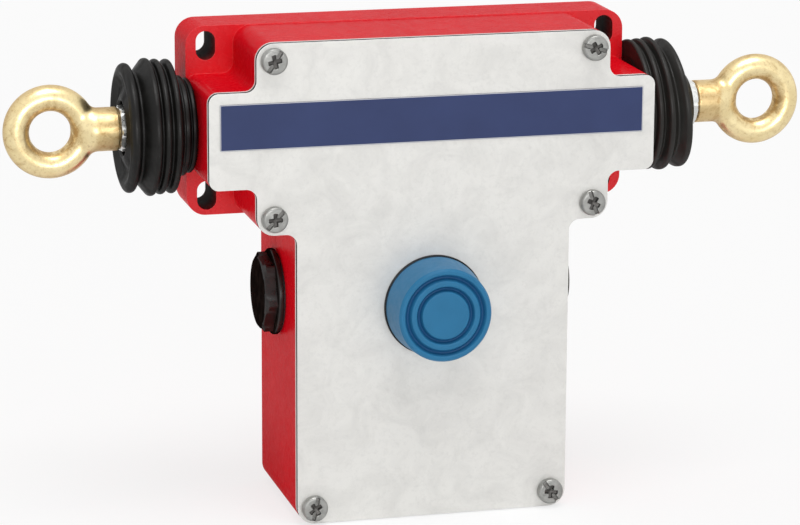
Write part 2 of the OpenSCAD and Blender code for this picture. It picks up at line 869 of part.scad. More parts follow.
// Flat lever on a thicker hub: upper fork on the drive pin, lower fork on the carriage's head
module rocker() {
  top = 4.5;
  low = drive_z - 3.5;
  waist = 4.2;
  hub_front = rocker_clip_d - fit_gap;
  color("#B4A05A")
  difference() {
    union() {
      slab(rocker_back, rocker_front) polygon([
        [-waist, -9], [-fork_w / 2, -5], [-fork_w / 2, top], [fork_w / 2, top], [fork_w / 2, -5], [waist, -9],
        [waist, drive_z + 8], [fork_w / 2, drive_z + 4], [fork_w / 2, low],
        [-fork_w / 2, low], [-fork_w / 2, drive_z + 4], [-waist, drive_z + 8]
      ]);
      slab(rocker_back, hub_front) translate([0, rocker_z]) circle(rocker_hub_d / 2);
    }
    slab(rocker_back - 1, hub_front + 1) {
      translate([0, rocker_z]) circle(rocker_pin_r + run_gap);
      fork_slot(drive_pin_r + fork_gap, -2.4, top + 1);
      fork_slot(drive_head_r + fork_gap, drive_z + 2.4, low - 1);
    }
  }
}

// Slot with a round end at height z, open towards the height to
module fork_slot(half, z, to) {
  translate([0, z]) circle(half);
  translate([-half, min(z, to)]) square([2 * half, abs(to - z)]);
}

module rocker_pivot() {
  groove_r = rocker_pin_r - 0.7;
  color(zinc)
  turned_y(0, rocker_z) polygon([
    [0, rear_wall], [rocker_pin_r, rear_wall], [rocker_pin_r, rocker_clip_d], [groove_r, rocker_clip_d],
    [groove_r, rocker_clip_d + rocker_clip_t], [rocker_pin_r, rocker_clip_d + rocker_clip_t],
    [rocker_pin_r, rocker_clip_d + rocker_clip_t + 0.5], [rocker_pin_r - 0.5, rocker_clip_d + rocker_clip_t + 1],
    [0, rocker_clip_d + rocker_clip_t + 1]
  ]);
}

module rocker_clip() {
  color("#5A5D60")
  slab(rocker_clip_d + 0.04, rocker_clip_d + rocker_clip_t - 0.04)
    translate([0, rocker_z]) clip_outline(rocker_pin_r + 2.2, rocker_pin_r - 0.65);
}

// Latch: nose in front of the collar's rim above, push pad for the plunger below, hub on the pin
module latch_lever() {
  pad_low = reset_z - pad_half;
  elbow_z = reset_z + elbow_rise;
  top = 3;
  hub_right = 4.5;
  bore_r = latch_pin_r + run_gap;
  color("#7D8286")
  difference() {
    union() {
      translate([-latch_w / 2, 0, 0]) rotate([90, 0, 90]) linear_extrude(latch_w) polygon([
        [-latch_front, top], [-latch_back, top], [-latch_back, latch_z + 3], [-latch_d + 2, latch_z],
        [-pad_back, elbow_z], [-pad_back, pad_low], [-pad_front, pad_low], [-pad_front, elbow_z - 1],
        [-latch_front, latch_z - 2]
      ]);
      translate([-nose_w / 2, -latch_back - 0.5, -top]) cube([nose_w, latch_back + 0.5 - nose_tip, 2 * top]);
      translate([-cheek_in + move_gap, -latch_d, latch_z])
        rotate([0, 90, 0])
          cylinder(r = latch_hub_r, h = cheek_in - move_gap + hub_right);
    }
    translate([-cheek_in, -latch_d, latch_z]) rotate([0, 90, 0]) cylinder(r = bore_r, h = 2 * cheek_in);
    translate([hub_right, -latch_d - 5, latch_z - 5]) cube([latch_w, 10, 10]);
  }
}

module latch_pin() {
  clip_x = cheek_out + 0.3;
  color(zinc)
  translate([0, -latch_d, latch_z]) rotate([0, 90, 0]) rotate_extrude() polygon([
    [0, -cheek_out - 1.5], [latch_pin_r + 1, -cheek_out - 1.5], [latch_pin_r + 1, -cheek_out],
    [latch_pin_r, -cheek_out], [latch_pin_r, clip_x], [latch_pin_r - 0.5, clip_x],
    [latch_pin_r - 0.5, clip_x + clip_t], [latch_pin_r, clip_x + clip_t],
    [latch_pin_r, clip_x + clip_t + 0.8], [0, clip_x + clip_t + 0.8]
  ]);
}

module latch_clip() {
  clip_x = cheek_out + 0.3;
  color("#5A5D60")
  translate([clip_x + 0.04, -latch_d, latch_z])
    rotate([90, 0, 90])
      linear_extrude(clip_t - 0.08)
        clip_outline(latch_pin_r + 1.9, latch_pin_r - 0.45);
}

// Torsion spring on the latch pin: one leg in front of the lever, one in front of the bracket's stop
module latch_spring() {
  coil_r = latch_coil_r;
  steps = 16;
  left = 5.3;
  right = cheek_in - move_gap - latch_wire / 2;
  leg_up = 13;
  leg_down = 11;
  n = latch_turns * steps;
  color("#8B8F92")
  translate([0, -latch_d, latch_z]) rotate([0, 90, 0]) wire(concat(
    [[[-leg_up, -coil_r, left], [0, -1, 0]]],
    [
      for (i = [0 : n])
        let (a = -90 - 360 * i / steps, out = [-cos(a), sin(a), 0])
          [coil_r * out + [0, 0, left + (right - left) * i / n], out]
    ],
    [[[leg_down, -coil_r, right], [0, -1, 0]]]
  ), latch_wire / 2);
}

// ---------------------------------------------------------------- reset button

// Moulded boot: tapered cup whose face has two round grooves
module reset_boot() {
  base = cover_out + 0.1;
  base_r = cap_base_d / 2;
  face_r = cap_face_d / 2;
  grip_r = reset_flange_d / 2 + 0.05;
  grip_end = reset_flange_front + 0.3;
  rim = 0.9;
  groove_r = [face_r * 0.79, face_r * 0.555];
  groove = 0.8;
  face_back = cap_front - cap_wall;
  color(button_blue)
  turned_y(0, reset_z) polygon(concat(
    [[grip_r, base], [base_r, base], [base_r, base + 2.4], [base_r - 0.3, base + 2.9]],
    arc(face_r - rim, cap_front - rim, rim, 10, 90, 6),
    [for (g = groove_r) each arc(g, cap_front, groove, 0, -180, 8)],
    [[0, cap_front], [0, face_back]],
    [for (i = [1, 0]) each arc(groove_r[i], cap_front, groove + cap_wall * 0.8, -150, -30, 5)],
    [[face_r - cap_wall - 0.2, face_back - 0.8], [base_r - cap_wall - 0.4, grip_end], [grip_r, grip_end]]
  ));
}

module reset_plunger() {
  clip_r = stem_r - 0.75;
  clip_back = plunger_clip_front - plunger_clip_t;
  dish = cap_wall;
  color("#D7D8D4")
  turned_y(0, reset_z) polygon([
    [0, tip_d], [stem_r - 2, tip_d], [stem_r, tip_d + 2], [stem_r, clip_back], [clip_r, clip_back],
    [clip_r, plunger_clip_front], [stem_r, plunger_clip_front], [stem_r, head_back - dish],
    [head_d / 2, head_back - dish], [head_d / 2, head_front - dish], [0, head_front - dish]
  ]);
}

module plunger_clip() {
  color("#5A5D60")
  slab(plunger_clip_front - plunger_clip_t + 0.04, plunger_clip_front - 0.04)
    translate([0, reset_z]) clip_outline(stem_r + 2.2, stem_r - 0.7);
}

module reset_spring() {
  color("#8B8F92")
  translate([0, -ledge_d, reset_z])
    rotate([90, 0, 0])
      coil_spring(reset_spring_d, reset_wire, head_back - cap_wall - ledge_d, 5);
}

// Threaded barrel with the flange that the boot grips
module reset_barrel() {
  color("#C9CAC6")
  turned_y(0, reset_z) polygon([
    [stem_r + run_gap, barrel_back], [barrel_r - 0.6, barrel_back], [barrel_r, barrel_back + 0.6],
    [barrel_r, reset_flange_back], [reset_flange_d / 2, reset_flange_back],
    [reset_flange_d / 2, reset_flange_front], [well_r, reset_flange_front], [well_r, ledge_d],
    [stem_r + run_gap, ledge_d]
  ]);
}

module reset_seal() {
  color(rubber_black)
  ring_y(0, reset_z, reset_flange_d / 2 - 0.3, barrel_r + fit_gap, cover_out, reset_flange_back);
}

module reset_nut() {
  color("#C9CAC6")
  translate([0, -cover_in + reset_nut_t, reset_z])
    rotate([90, 0, 0])
      difference() {
        cylinder(r = reset_nut_af / sqrt(3), h = reset_nut_t, $fn = 6);
        translate([0, 0, -1]) cylinder(r = barrel_r + run_gap, h = reset_nut_t + 2);
      }
}

// ---------------------------------------------------------------- contacts

// Copper strip on the positive side: contact pad, leg to the front, foot under the terminal
module strip_path(x, z, grow = 0) {
  leg = strip_t / 2 + grow;
  translate([3.4 - grow, -strip_front - grow, z - strip_h / 2 - grow])
    cube([x + leg - 3.4 + grow, strip_t + 2 * grow, strip_h + 2 * grow]);
  translate([x - leg, -contact_d - grow, z - strip_h / 2 - grow])
    cube([2 * leg, contact_d - strip_front + 0.2 + 2 * grow, strip_h + 2 * grow]);
}

module contact_block() {
  half = contact_w / 2;
  color(moulded_black)
  difference() {
    union() {
      rotate([90, 0, 90]) translate([0, 0, -half]) linear_extrude(contact_w) polygon([
        [-rear_wall, block_top], [-contact_d, block_top], [-contact_d, block_bottom],
        [-standoff_d, block_bottom], [-standoff_d, step_z], [-rear_wall, step_z]
      ]);
      for (x = [-half + 0.6, -(terminal_outer + terminal_inner) / 4, 0, (terminal_outer + terminal_inner) / 4, half - 0.6]) {
        translate([x - 0.6, -contact_d - 3, foot_bottom - 0.5]) cube([1.2, 3.5, block_top - foot_bottom - 0.5]);
      }
    }
    translate([-channel_x, -channel_front, channel_floor]) cube([2 * channel_x, channel_front, 20]);
    for (side = [-1, 1]) {
      at_side(side) {
        for (i = [0, 1]) {
          strip_path(terminal_x[i], circuit_z[i], 0.05);
          translate([terminal_x[i], 0, terminal_z]) slab(contact_d - 9, contact_d + 1) circle(terminal_r + run_gap);
        }
        translate([block_screw_x, 0, block_screw_z]) slab(rear_wall, contact_d + 1) circle(screw_r + 0.2);
        translate([block_screw_x, 0, block_screw_z]) slab(block_screw_head, contact_d + 1) circle(3.8);
      }
    }
  }
}

// Cap over the channel, with a slot for the carriage's neck
module contact_lid() {
  slot_x = drive_travel + 1.8;
  color(moulded_grey)
  difference() {
    translate([-channel_x - 3, -lid_d, block_top]) cube([2 * channel_x + 6, lid_d - rear_wall, lid_t]);
    translate([-slot_x, -rocker_front - 0.3, block_top - 1]) cube([2 * slot_x, rocker_t + 0.6, lid_t + 2]);
  }
}

// Slide with a round head in the rocker's lower fork
module contact_carriage() {
  neck = 1.1;
  color("#C9BFA5")
  union() {
    translate([-carriage_x, -carriage_front, channel_floor + move_gap])
      cube([carriage_w, carriage_front - carriage_back, 10 - 2 * move_gap]);
    translate([0, 0, 0]) slab(rocker_back + 0.2, rocker_front - 0.2) {
      translate([0, drive_z]) circle(drive_head_r);
      translate([-neck, block_top - 1]) square([2 * neck, drive_z - block_top + 1]);
    }
  }
}

// Two bridges that join the fixed contacts while the shaft is centred
module contact_bridges() {
  color(copper)
  for (z = circuit_z) {
    translate([-7, -carriage_front - bridge_t, z - strip_h / 2]) cube([14, bridge_t, strip_h]);
  }
}

module fixed_contacts() {
  color(copper)
  for (side = [-1, 1], i = [0, 1]) {
    at_side(side) difference() {
      union() {
        strip_path(terminal_x[i], circuit_z[i]);
        translate([terminal_x[i] - terminal_pad_w / 2, -foot_front, foot_bottom])
          cube([terminal_pad_w, strip_t, circuit_z[i] + strip_h / 2 - foot_bottom]);
      }
      translate([terminal_x[i], 0, terminal_z]) slab(contact_d - 1, foot_front + 1) circle(terminal_r + fit_gap);
    }
  }
}

module at_terminals() {
  for (side = [-1, 1], x = terminal_x) {
    translate([side * x, 0, terminal_z]) children();
  }
}

module terminal_screws() {
  color(zinc)
  at_terminals() translate([0, -clamp_front, 0]) rotate([0, 20, 0])
    machine_screw(2 * terminal_r, terminal_screw_l, terminal_pad_w / 2 - 0.1, 2);
}

module terminal_clamps() {
  color("#C8C3A8")
  at_terminals() slab(foot_front, clamp_front) difference() {
    square([terminal_pad_w - 0.2, terminal_pad_w], center = true);
    circle(terminal_r + fit_gap);
  }
}

module block_screws() {
  color(zinc)
  for (side = [-1, 1]) {
    translate([side * block_screw_x, -block_screw_head, block_screw_z])
      rotate([0, 15 * side, 0])
        machine_screw(screw_d, block_screw_head - 2.2, 3.4, 2.6);
  }
}

module earth_screw() {
  color(brass)
  translate([earth_x, -earth_boss_d - 1, earth_z]) rotate([0, 40, 0]) machine_screw(screw_d, earth_boss_d - 2, 4, 2.6);
}

module earth_washer() {
  color(zinc)
  ring_y(earth_x, earth_z, 5, screw_r + fit_gap, earth_boss_d, earth_boss_d + 1);
}

// ---------------------------------------------------------------- cable entries

// Blanking plug: hollow threaded shank, round flange, chamfered hexagon
module cable_plug(side) {
  flange_x = lower_x + plug_seal_t;
  hex_x = flange_x + plug_flange_t;
  shank_in = lower_x - entry_l;
  color(moulded_black)
  at_side(side) translate([0, -axis_d, entry_z]) rotate([0, 90, 0]) {
    rotate_extrude() polygon([
      [entry_r - 2, shank_in], [entry_r - 0.6, shank_in], [entry_r, shank_in + 0.6], [entry_r, flange_x],
      [plug_flange_d / 2, flange_x], [plug_flange_d / 2, hex_x - 0.5], [plug_flange_d / 2 - 0.5, hex_x],
      [0, hex_x], [0, flange_x], [entry_r - 2, flange_x - 1]
    ]);
    translate([0, 0, hex_x - eps]) rotate([0, 0, plug_turn]) chamfered_hex(plug_af, plug_hex_h + eps);
  }
}

module plug_seal(side) {
  color("#3A3A3A")
  at_side(side) translate([lower_x, -axis_d, entry_z]) rotate([0, 90, 0]) difference() {
    cylinder(r = plug_flange_d / 2 - 0.9, h = plug_seal_t);
    translate([0, 0, -1]) cylinder(r = entry_r + fit_gap, h = plug_seal_t + 2);
  }
}

// ---------------------------------------------------------------- drawing

housing();
cover_gasket();
cover_plate();
cover_band();
cover_screws();
bush(-1);  // bush_left
bush(1);  // bush_right
boot(-1, hub_out + lip_out_left);  // boot_left
boot(1, hub_out + lip_out_right);  // boot_right
pull_shaft();
trip_collar();
drive_pin();
spring_seat(-1);  // spring_seat_left
spring_seat(1);  // spring_seat_right
centring_spring(-1);  // centring_spring_left
centring_spring(1);  // centring_spring_right
washer(-1);  // washer_left
washer(1);  // washer_right
lock_nut(-1);  // lock_nut_left
lock_nut(1);  // lock_nut_right
rope_eye(-1);  // eye_left
rope_eye(1);  // eye_right
mechanism_bracket();
bracket_screws();
rocker();
rocker_pivot();
rocker_clip();
latch_lever();
latch_pin();
latch_clip();
latch_spring();
reset_boot();
reset_plunger();
plunger_clip();
reset_spring();
reset_barrel();
reset_seal();
reset_nut();
contact_block();
contact_lid();
contact_carriage();
contact_bridges();
fixed_contacts();
terminal_screws();
terminal_clamps();
block_screws();
earth_screw();
earth_washer();
cable_plug(-1);  // cable_plug_left
cable_plug(1);  // cable_plug_right
plug_seal(-1);  // plug_seal_left
plug_seal(1);  // plug_seal_right
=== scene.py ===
"""Finished surfaces of a rope pull switch: casting, sheet cover, rubber boots, rope eyes and reset button.

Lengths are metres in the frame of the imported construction: X along the rope, +Y into the wall, +Z up.
"""

import json
import math
from types import SimpleNamespace

import bmesh
import bpy
import numpy as np
from mathutils import Matrix, Vector


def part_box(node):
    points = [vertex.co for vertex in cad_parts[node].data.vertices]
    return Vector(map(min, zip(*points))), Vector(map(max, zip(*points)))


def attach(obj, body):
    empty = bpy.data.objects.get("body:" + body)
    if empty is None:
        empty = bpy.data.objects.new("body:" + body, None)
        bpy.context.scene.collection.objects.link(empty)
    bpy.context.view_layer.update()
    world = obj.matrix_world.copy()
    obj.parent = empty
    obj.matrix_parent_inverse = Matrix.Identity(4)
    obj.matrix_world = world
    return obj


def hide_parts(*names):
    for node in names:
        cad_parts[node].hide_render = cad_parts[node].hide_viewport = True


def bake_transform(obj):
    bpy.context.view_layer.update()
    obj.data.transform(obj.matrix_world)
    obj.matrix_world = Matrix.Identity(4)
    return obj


bl_info = {
    "name": "Rope Pull Switch",
    "version": (1, 0, 0),
    "blender": (4, 5, 0),
    "location": "View3D > Sidebar > Rope Switch",
    "description": "Builds the finished surfaces of a double-ended rope pull switch",
    "category": "Object",
}

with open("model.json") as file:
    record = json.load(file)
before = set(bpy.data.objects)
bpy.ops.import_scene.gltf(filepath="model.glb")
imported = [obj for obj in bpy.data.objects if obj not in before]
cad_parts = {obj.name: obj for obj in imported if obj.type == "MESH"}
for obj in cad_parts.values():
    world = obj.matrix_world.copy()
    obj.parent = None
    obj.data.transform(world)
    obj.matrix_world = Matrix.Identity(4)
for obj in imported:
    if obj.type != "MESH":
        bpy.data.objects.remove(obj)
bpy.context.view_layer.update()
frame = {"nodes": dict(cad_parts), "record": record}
MM = 0.001


def corners(node):
    """Lowest and highest corner of a construction node, as arrays."""
    low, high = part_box(node)
    return np.array(low), np.array(high)


def from_middle(node):
    """Distances of a node's near and far end from the middle, along X."""
    low, high = corners(node)
    return sorted((abs(low[0]), abs(high[0])))


BODY_FRONT, BODY_BOTTOM = corners("housing")[0][1:]
COVER_FACE = corners("cover_plate")[0][1]
BUTTON_FACE = corners("reset_boot")[0][1]
BUTTON_Z = sum(corners("reset_boot"))[2] / 2
SHAFT_Y = sum(corners("pull_shaft"))[1] / 2
SIDES = ("left", -1), ("right", 1)
SAME_POINT = 0.0002 * MM

# Outer and inner radius of each round groove in the button's face
GROOVES = (12.9 * MM, 10.7 * MM), (9.2 * MM, 7.3 * MM)


# ---------------------------------------------------------------- settings


def length(name, description, default, soft_max=0.1):
    """Length property, edited in the scene's unit."""
    return bpy.props.FloatProperty(
        name=name, description=description, default=default, min=0.0, soft_max=soft_max,
        subtype="DISTANCE", unit="LENGTH", precision=5,
    )


def colour(name, description, default):
    """Colour property, linear, kept between 0 and 1."""
    return bpy.props.FloatVectorProperty(
        name=name, description=description, default=default, size=3, min=0.0, max=1.0, subtype="COLOR",
    )


def angle(name, description, default):
    """Angle property, in radians."""
    return bpy.props.FloatProperty(
        name=name, description=description, default=default, subtype="ANGLE", unit="ROTATION",
    )


def strength(name, description, default):
    """Strength of a light."""
    return bpy.props.FloatProperty(
        name=name, description=description, default=default, min=0.0, soft_max=3.0, subtype="FACTOR",
    )


def group(kind, name, description):
    """One group of settings inside another."""
    return bpy.props.PointerProperty(type=kind, name=name, description=description)


class SwitchCastingSettings(bpy.types.PropertyGroup):
    """Die-cast body and sheet cover."""

    edge: length("Cast edge", "Radius of the casting's edges", 0.55 * MM)
    sheet_edge: length("Sheet edge", "Radius of the cover's edges", 0.35 * MM)
    paint: colour("Paint", "Colour of the body's paint", (0.75, 0.0045, 0.0130))
    # Lighter red on the rounded edges: a painted highlight
    edge_highlight_paint: colour("Painted edge highlight", "Colour of the painted highlight on the body's edges", (0.80, 0.045, 0.055))
    # Dark slot colours: painted shade, from dark red at the mouth to near black deep inside
    slot: colour("Slot wall", "Colour of the painted shade deep in the wall slots", (0.020, 0.008, 0.007))
    slot_mouth_shade: colour("Slot mouth", "Colour of the painted shade at the mouth of the wall slots", (0.20, 0.014, 0.012))
    sheet: colour("Sheet", "Colour of the cover sheet", (0.740, 0.732, 0.705))
    # Paler rim colour: a painted highlight on the sheet's rounded edge
    sheet_rim_highlight: colour("Sheet rim", "Colour of the sheet's rounded rim", (0.90, 0.90, 0.885))
    gasket: colour("Gasket", "Colour of the gasket", (0.86, 0.85, 0.82))
    gasket_out: length("Gasket squeeze", "How far the pressed gasket stands out of its seat", 0.28 * MM)
    # Nearly black cut edge: painted shade on the sheet's side
    cut: colour("Cut edge", "Colour of the sheet's cut edge", (0.018, 0.018, 0.017))
    band: colour("Band", "Colour of the printed band", (0.034, 0.050, 0.138))
    # The pale line round the band is a painted highlight on the film's edge
    band_highlight_width: length("Band rim", "Width of the pale line round the band", 0.28 * MM)
    band_out: length("Band edge", "How far the film's edge runs out over its seat", 0.45 * MM)


class SwitchScrewSettings(bpy.types.PropertyGroup):
    """Heads of the cover screws."""

    head_radius: length("Head radius", "Radius of each head", 4.0 * MM)
    dome: length("Edge radius", "Radius of the head's upper edge", 0.75 * MM)
    slot_width: length("Slot width", "Width of the straight slot", 1.2 * MM)
    slot_depth: length("Slot depth", "Depth of the straight slot", 0.75 * MM)
    cross_reach: length("Cross reach", "Distance each cross wing reaches from the middle", 2.1 * MM)
    cross_width: length("Cross width", "Width of each cross wing", 1.25 * MM)
    zinc: colour("Zinc", "Colour of the plating", (0.36, 0.36, 0.345))
    # Dark recess colour: painted shade in the slot and the cross
    recess: colour("Recess", "Colour in the slots and in the cross", (0.110, 0.105, 0.100))


class SwitchBootSettings(bpy.types.PropertyGroup):
    """Rubber bellows on both ends of the shaft."""

    fold_radius: length("Fold radius", "Radius over the largest fold", 21.1 * MM)
    bend: length("Fold bend", "Radius of each fold's crest", 1.05 * MM)
    valley: length("Valley depth", "Depth of the valleys between the folds", 2.3 * MM)
    lip_radius: length("Lip radius", "Radius of the outer lip", 19.9 * MM)
    groove_radius: length("Groove radius", "Radius of the deep groove behind the lip", 16.4 * MM)
    neck_radius: length("Neck radius", "Radius of the ring at the arm", 14.6 * MM)
    rubber: colour("Rubber", "Colour of the rubber", (0.0055, 0.0052, 0.0048))
    bloom: colour("Bloom", "Colour of the dusty patches", (0.022, 0.021, 0.019))


class SwitchEyeSettings(bpy.types.PropertyGroup):
    """Forged rope eyes and their lock nuts."""

    ring_radius: length("Ring radius", "Radius of the ring's centre line", 10.4 * MM)
    stock_radius: length("Stock radius", "Radius of the ring's round stock", 4.0 * MM)
    shank_radius: length("Shank radius", "Radius of the shank", 6.7 * MM)
    fillet: length("Fillet", "Width over which ring and shank flow together", 1.8 * MM)
    voxel: length("Grain", "Grid size of the forging's surface", 0.32 * MM)
    gold: colour("Gold", "Colour of the passivated zinc", (0.86, 0.70, 0.375))
    # This colour also paints shade on the ring's outer edge
    blemish_and_edge_shade: colour("Blemish", "Colour of the brown blemishes", (0.40, 0.23, 0.075))
    nut: colour("Nut", "Colour of the lock nuts", (0.74, 0.75, 0.73))


class SwitchButtonSettings(bpy.types.PropertyGroup):
    """Reset button with its moulded boot."""

    face_radius: length("Face radius", "Radius of the button at its face", 14.5 * MM)
    base_radius: length("Base radius", "Radius of the button at the cover", 15.4 * MM)
    groove_depth: length("Groove depth", "Depth of the two round grooves", 1.5 * MM)
    # The dark ring at the cover is painted shade
    foot: length("Foot gap", "Height of the dark ring at the cover", 0.6 * MM)
    blue: colour("Blue", "Colour of the moulded boot", (0.022, 0.165, 0.330))
    # Groove colour: painted shade in the grooves
    groove: colour("Groove", "Colour in the bottom of the grooves", (0.007, 0.080, 0.210))


class SwitchPlugSettings(bpy.types.PropertyGroup):
    """Blanking plugs in the cable entries."""

    flats: length("Across flats", "Width of the hexagon", 22.0 * MM)
    turn: angle("Turn", "Angle of one corner below the front", math.radians(8))
    plastic: colour("Plastic", "Colour of the plugs", (0.0080, 0.0055, 0.0048))
    edge: colour("Worn edge", "Colour of the rubbed places", (0.034, 0.022, 0.018))


class SwitchStageSettings(bpy.types.PropertyGroup):
    """Camera, lamps and floor."""

    lens: length("Lens", "Focal length", 0.15574, 0.5)
    distance: length("Distance", "Camera distance from the target plane", 1.0649, 3.0)
    yaw: angle("Yaw", "Turn to the right", 0.259)
    pitch: angle("Pitch", "Tilt downwards", 0.241)
    roll: angle("Roll", "Turn about the view", 0.005)
    shift_left: length("Shift left", "How far the camera stands left of the target", 5.572 * MM)
    shift_down: length("Shift down", "How far the camera stands below the target", 62.443 * MM)
    sky: strength("Sky", "Strength of the even light", 0.45)
    key: strength("Key", "Strength of the front lamp", 1.10)
    top: strength("Top", "Strength of the upper lamp", 1.35)
    floor: colour("Floor", "Colour of the floor", (0.96, 0.96, 0.96))


class RopeSwitchSettings(bpy.types.PropertyGroup):
    """All sizes and colours of the switch."""

    casting: group(SwitchCastingSettings, "Casting", "Body and cover")
    screws: group(SwitchScrewSettings, "Screws", "Cover screws")
    boots: group(SwitchBootSettings, "Boots", "Rubber bellows")
    eyes: group(SwitchEyeSettings, "Eyes", "Rope eyes and nuts")
    button: group(SwitchButtonSettings, "Button", "Reset button")
    plugs: group(SwitchPlugSettings, "Plugs", "Blanking plugs")
    stage: group(SwitchStageSettings, "Stage", "Camera and light")


# ---------------------------------------------------------------- surfaces


def circle(steps):
    """Angles of evenly spaced steps round the full turn."""
    return np.linspace(0.0, 2 * np.pi, steps, endpoint=False)


def softened(outline, steps=5):
    """Rounds the corners of an outline of (radius, height, fillet).

    Each corner becomes the arc that is tangent to both of its sides: it starts and ends
    fillet / tan(half the corner's angle) away from the corner.
    """
    points = np.array([p[:2] for p in outline], float)
    out = [points[:1]]
    for i in range(1, len(points) - 1):
        fillet = outline[i][2] if len(outline[i]) > 2 else 0.0
        corner = points[i]
        a, b = points[i - 1] - corner, points[i + 1] - corner
        la, lb = np.hypot(*a), np.hypot(*b)
        if fillet <= 0 or min(la, lb) < 1e-9:
            out.append(corner[None])
            continue
        a, b = a / la, b / lb
        half = 0.5 * math.acos(float(np.clip(a @ b, -1.0, 1.0)))
        reach = min(fillet / math.tan(half), 0.49 * la, 0.49 * lb)
        radius = reach * math.tan(half)
        middle = corner + (a + b) / np.hypot(*(a + b)) * radius / math.sin(half)
        start, end = corner + a * reach - middle, corner + b * reach - middle
        sweep = np.linspace(0.0, 1.0, steps + 1)[:, None]
        turn = math.acos(float(np.clip(start @ end / radius**2, -1.0, 1.0)))
        arc = (np.sin((1 - sweep) * turn) * start + np.sin(sweep * turn) * end) / math.sin(turn)
        out.append(middle + arc)
    out.append(points[-1:])
    return np.vstack(out)


def turned(profile, centre, axis, segments=128):
    """Surface of revolution: centre + axis * height + radius * (u cos a + v sin a), for every angle a."""
    axis, u = np.array(axis, float), np.array([0.0, 0.0, 1.0])
    a = circle(segments)[:, None]
    ring = np.cos(a) * u + np.sin(a) * np.cross(axis, u)
    radius, height = profile.T[..., None, None]
    return np.array(centre) + height * axis + radius * ring


def unit(rows):
    """Rows of an array, each brought to the length of 1."""
    return rows / np.maximum(np.linalg.norm(rows, axis=1), 1e-6)[:, None]


def tube(path, radius):
    """Round wire: path point + radius * (n cos a + b sin a), where n and b stand square to the path.

    n is the cross product of the path's direction and a guide that the path never runs along.
    """
    sides, guide = 12, (0.31, 0.52, 0.80)
    tangent = unit(np.gradient(path, axis=0))
    n = unit(np.cross(tangent, guide))
    b = np.cross(tangent, n)
    a = circle(sides)[None, :, None]
    skin = path[:, None] + radius * (np.cos(a) * n[:, None] + np.sin(a) * b[:, None])
    start, end = (np.tile(path[tip], (1, sides, 1)) for tip in (0, -1))
    return np.concatenate([start, skin, end])


def quads(rows, columns, offset, closed_rows):
    """Faces of a grid that is closed across, and along too if closed_rows."""
    last = rows if closed_rows else rows - 1
    i, j = np.meshgrid(np.arange(last), np.arange(columns), indexing="ij")
    k, l = (i + 1) % rows, (j + 1) % columns
    faces = [i * columns + j, i * columns + l, k * columns + l, k * columns + j]
    return np.stack(faces, -1).reshape(-1, 4) + offset


def linked(name, data):
    """New object of the scene, at the origin."""
    obj = bpy.data.objects.new(name, data)
    bpy.context.scene.collection.objects.link(obj)
    return obj


def finished(name, grids, material, sharp=35):
    """One object from grids of points, smooth up to the sharp angle in degrees.

    A grid is an array of rows x columns x 3, or a pair of one and True where its rows close on themselves.
    """
    points, faces, offset = [], [], 0
    for grid in grids:
        grid, closed = grid if isinstance(grid, tuple) else (grid, False)
        rows, columns = grid.shape[:2]
        points.append(grid.reshape(-1, 3))
        faces.append(quads(rows, columns, offset, closed))
        offset += rows * columns
    mesh = bpy.data.meshes.new(name)
    mesh.from_pydata(np.vstack(points).tolist(), [], np.vstack(faces).tolist())
    return placed(name, mesh, [material], sharp)


def placed(name, mesh, materials, sharp, flat_merge=None):
    """Object from a mesh whose doubles are merged, and its flat faces joined or else its faces turned outwards.

    Edges stay sharp above the angle sharp, and faces count as flat below flat_merge, both in degrees.
    """
    work = bmesh.new()
    work.from_mesh(mesh)
    bmesh.ops.remove_doubles(work, verts=work.verts, dist=SAME_POINT)
    if flat_merge is not None:
        flat = math.radians(flat_merge)
        bmesh.ops.dissolve_limit(work, angle_limit=flat, verts=work.verts, edges=work.edges)
    else:
        bmesh.ops.recalc_face_normals(work, faces=work.faces)
    work.to_mesh(mesh)
    work.free()
    mesh.shade_smooth()
    mesh.set_sharp_from_angle(angle=math.radians(sharp))
    for material in materials:
        mesh.materials.append(material)
    return linked(name, mesh)


def triples(items, name):
    """Three values of every vertex or face, as rows of an array."""
    values = np.empty(len(items) * 3)
    items.foreach_get(name, values)
    return values.reshape(-1, 3)


def keep_rest(obj):
    """Stores where each point lies at rest, so that a pattern stays on the skin of a piece that stretches."""
    place = triples(obj.data.vertices, "co").astype(np.float32)
    obj.data.attributes.new("rest", "FLOAT_VECTOR", "POINT").data.foreach_set("vector", place.ravel())


def copied(node, name, materials, sharp, flat_merge):
    """Copy of a construction node as a piece of its own, with its flat faces merged."""
    mesh = frame["nodes"][node].data.copy()
    mesh.name = name
    mesh.materials.clear()
    return placed(name, mesh, materials, sharp, flat_merge)


def edged_copy(node, name, materials, width, edge_slot):
    """Copy of a construction node with its edges rounded, and finished there as edge_slot says."""
    obj = copied(node, name, materials, 30, 0.6)
    bevel = obj.modifiers.new("edges", "BEVEL")
    bevel.width, bevel.segments = width, 3
    bevel.limit_method, bevel.angle_limit = "ANGLE", math.radians(40)
    bevel.miter_outer = "MITER_ARC"
    bevel.material = edge_slot
    obj.modifiers.new("faces", "WEIGHTED_NORMAL").keep_sharp = True
    return obj


# ---------------------------------------------------------------- finishes


def shade(base, *shares):
    """Colour times one share, or one share per channel, kept at or below 1."""
    return tuple(min(1.0, c * k) for c, k in zip(base, shares * 3))


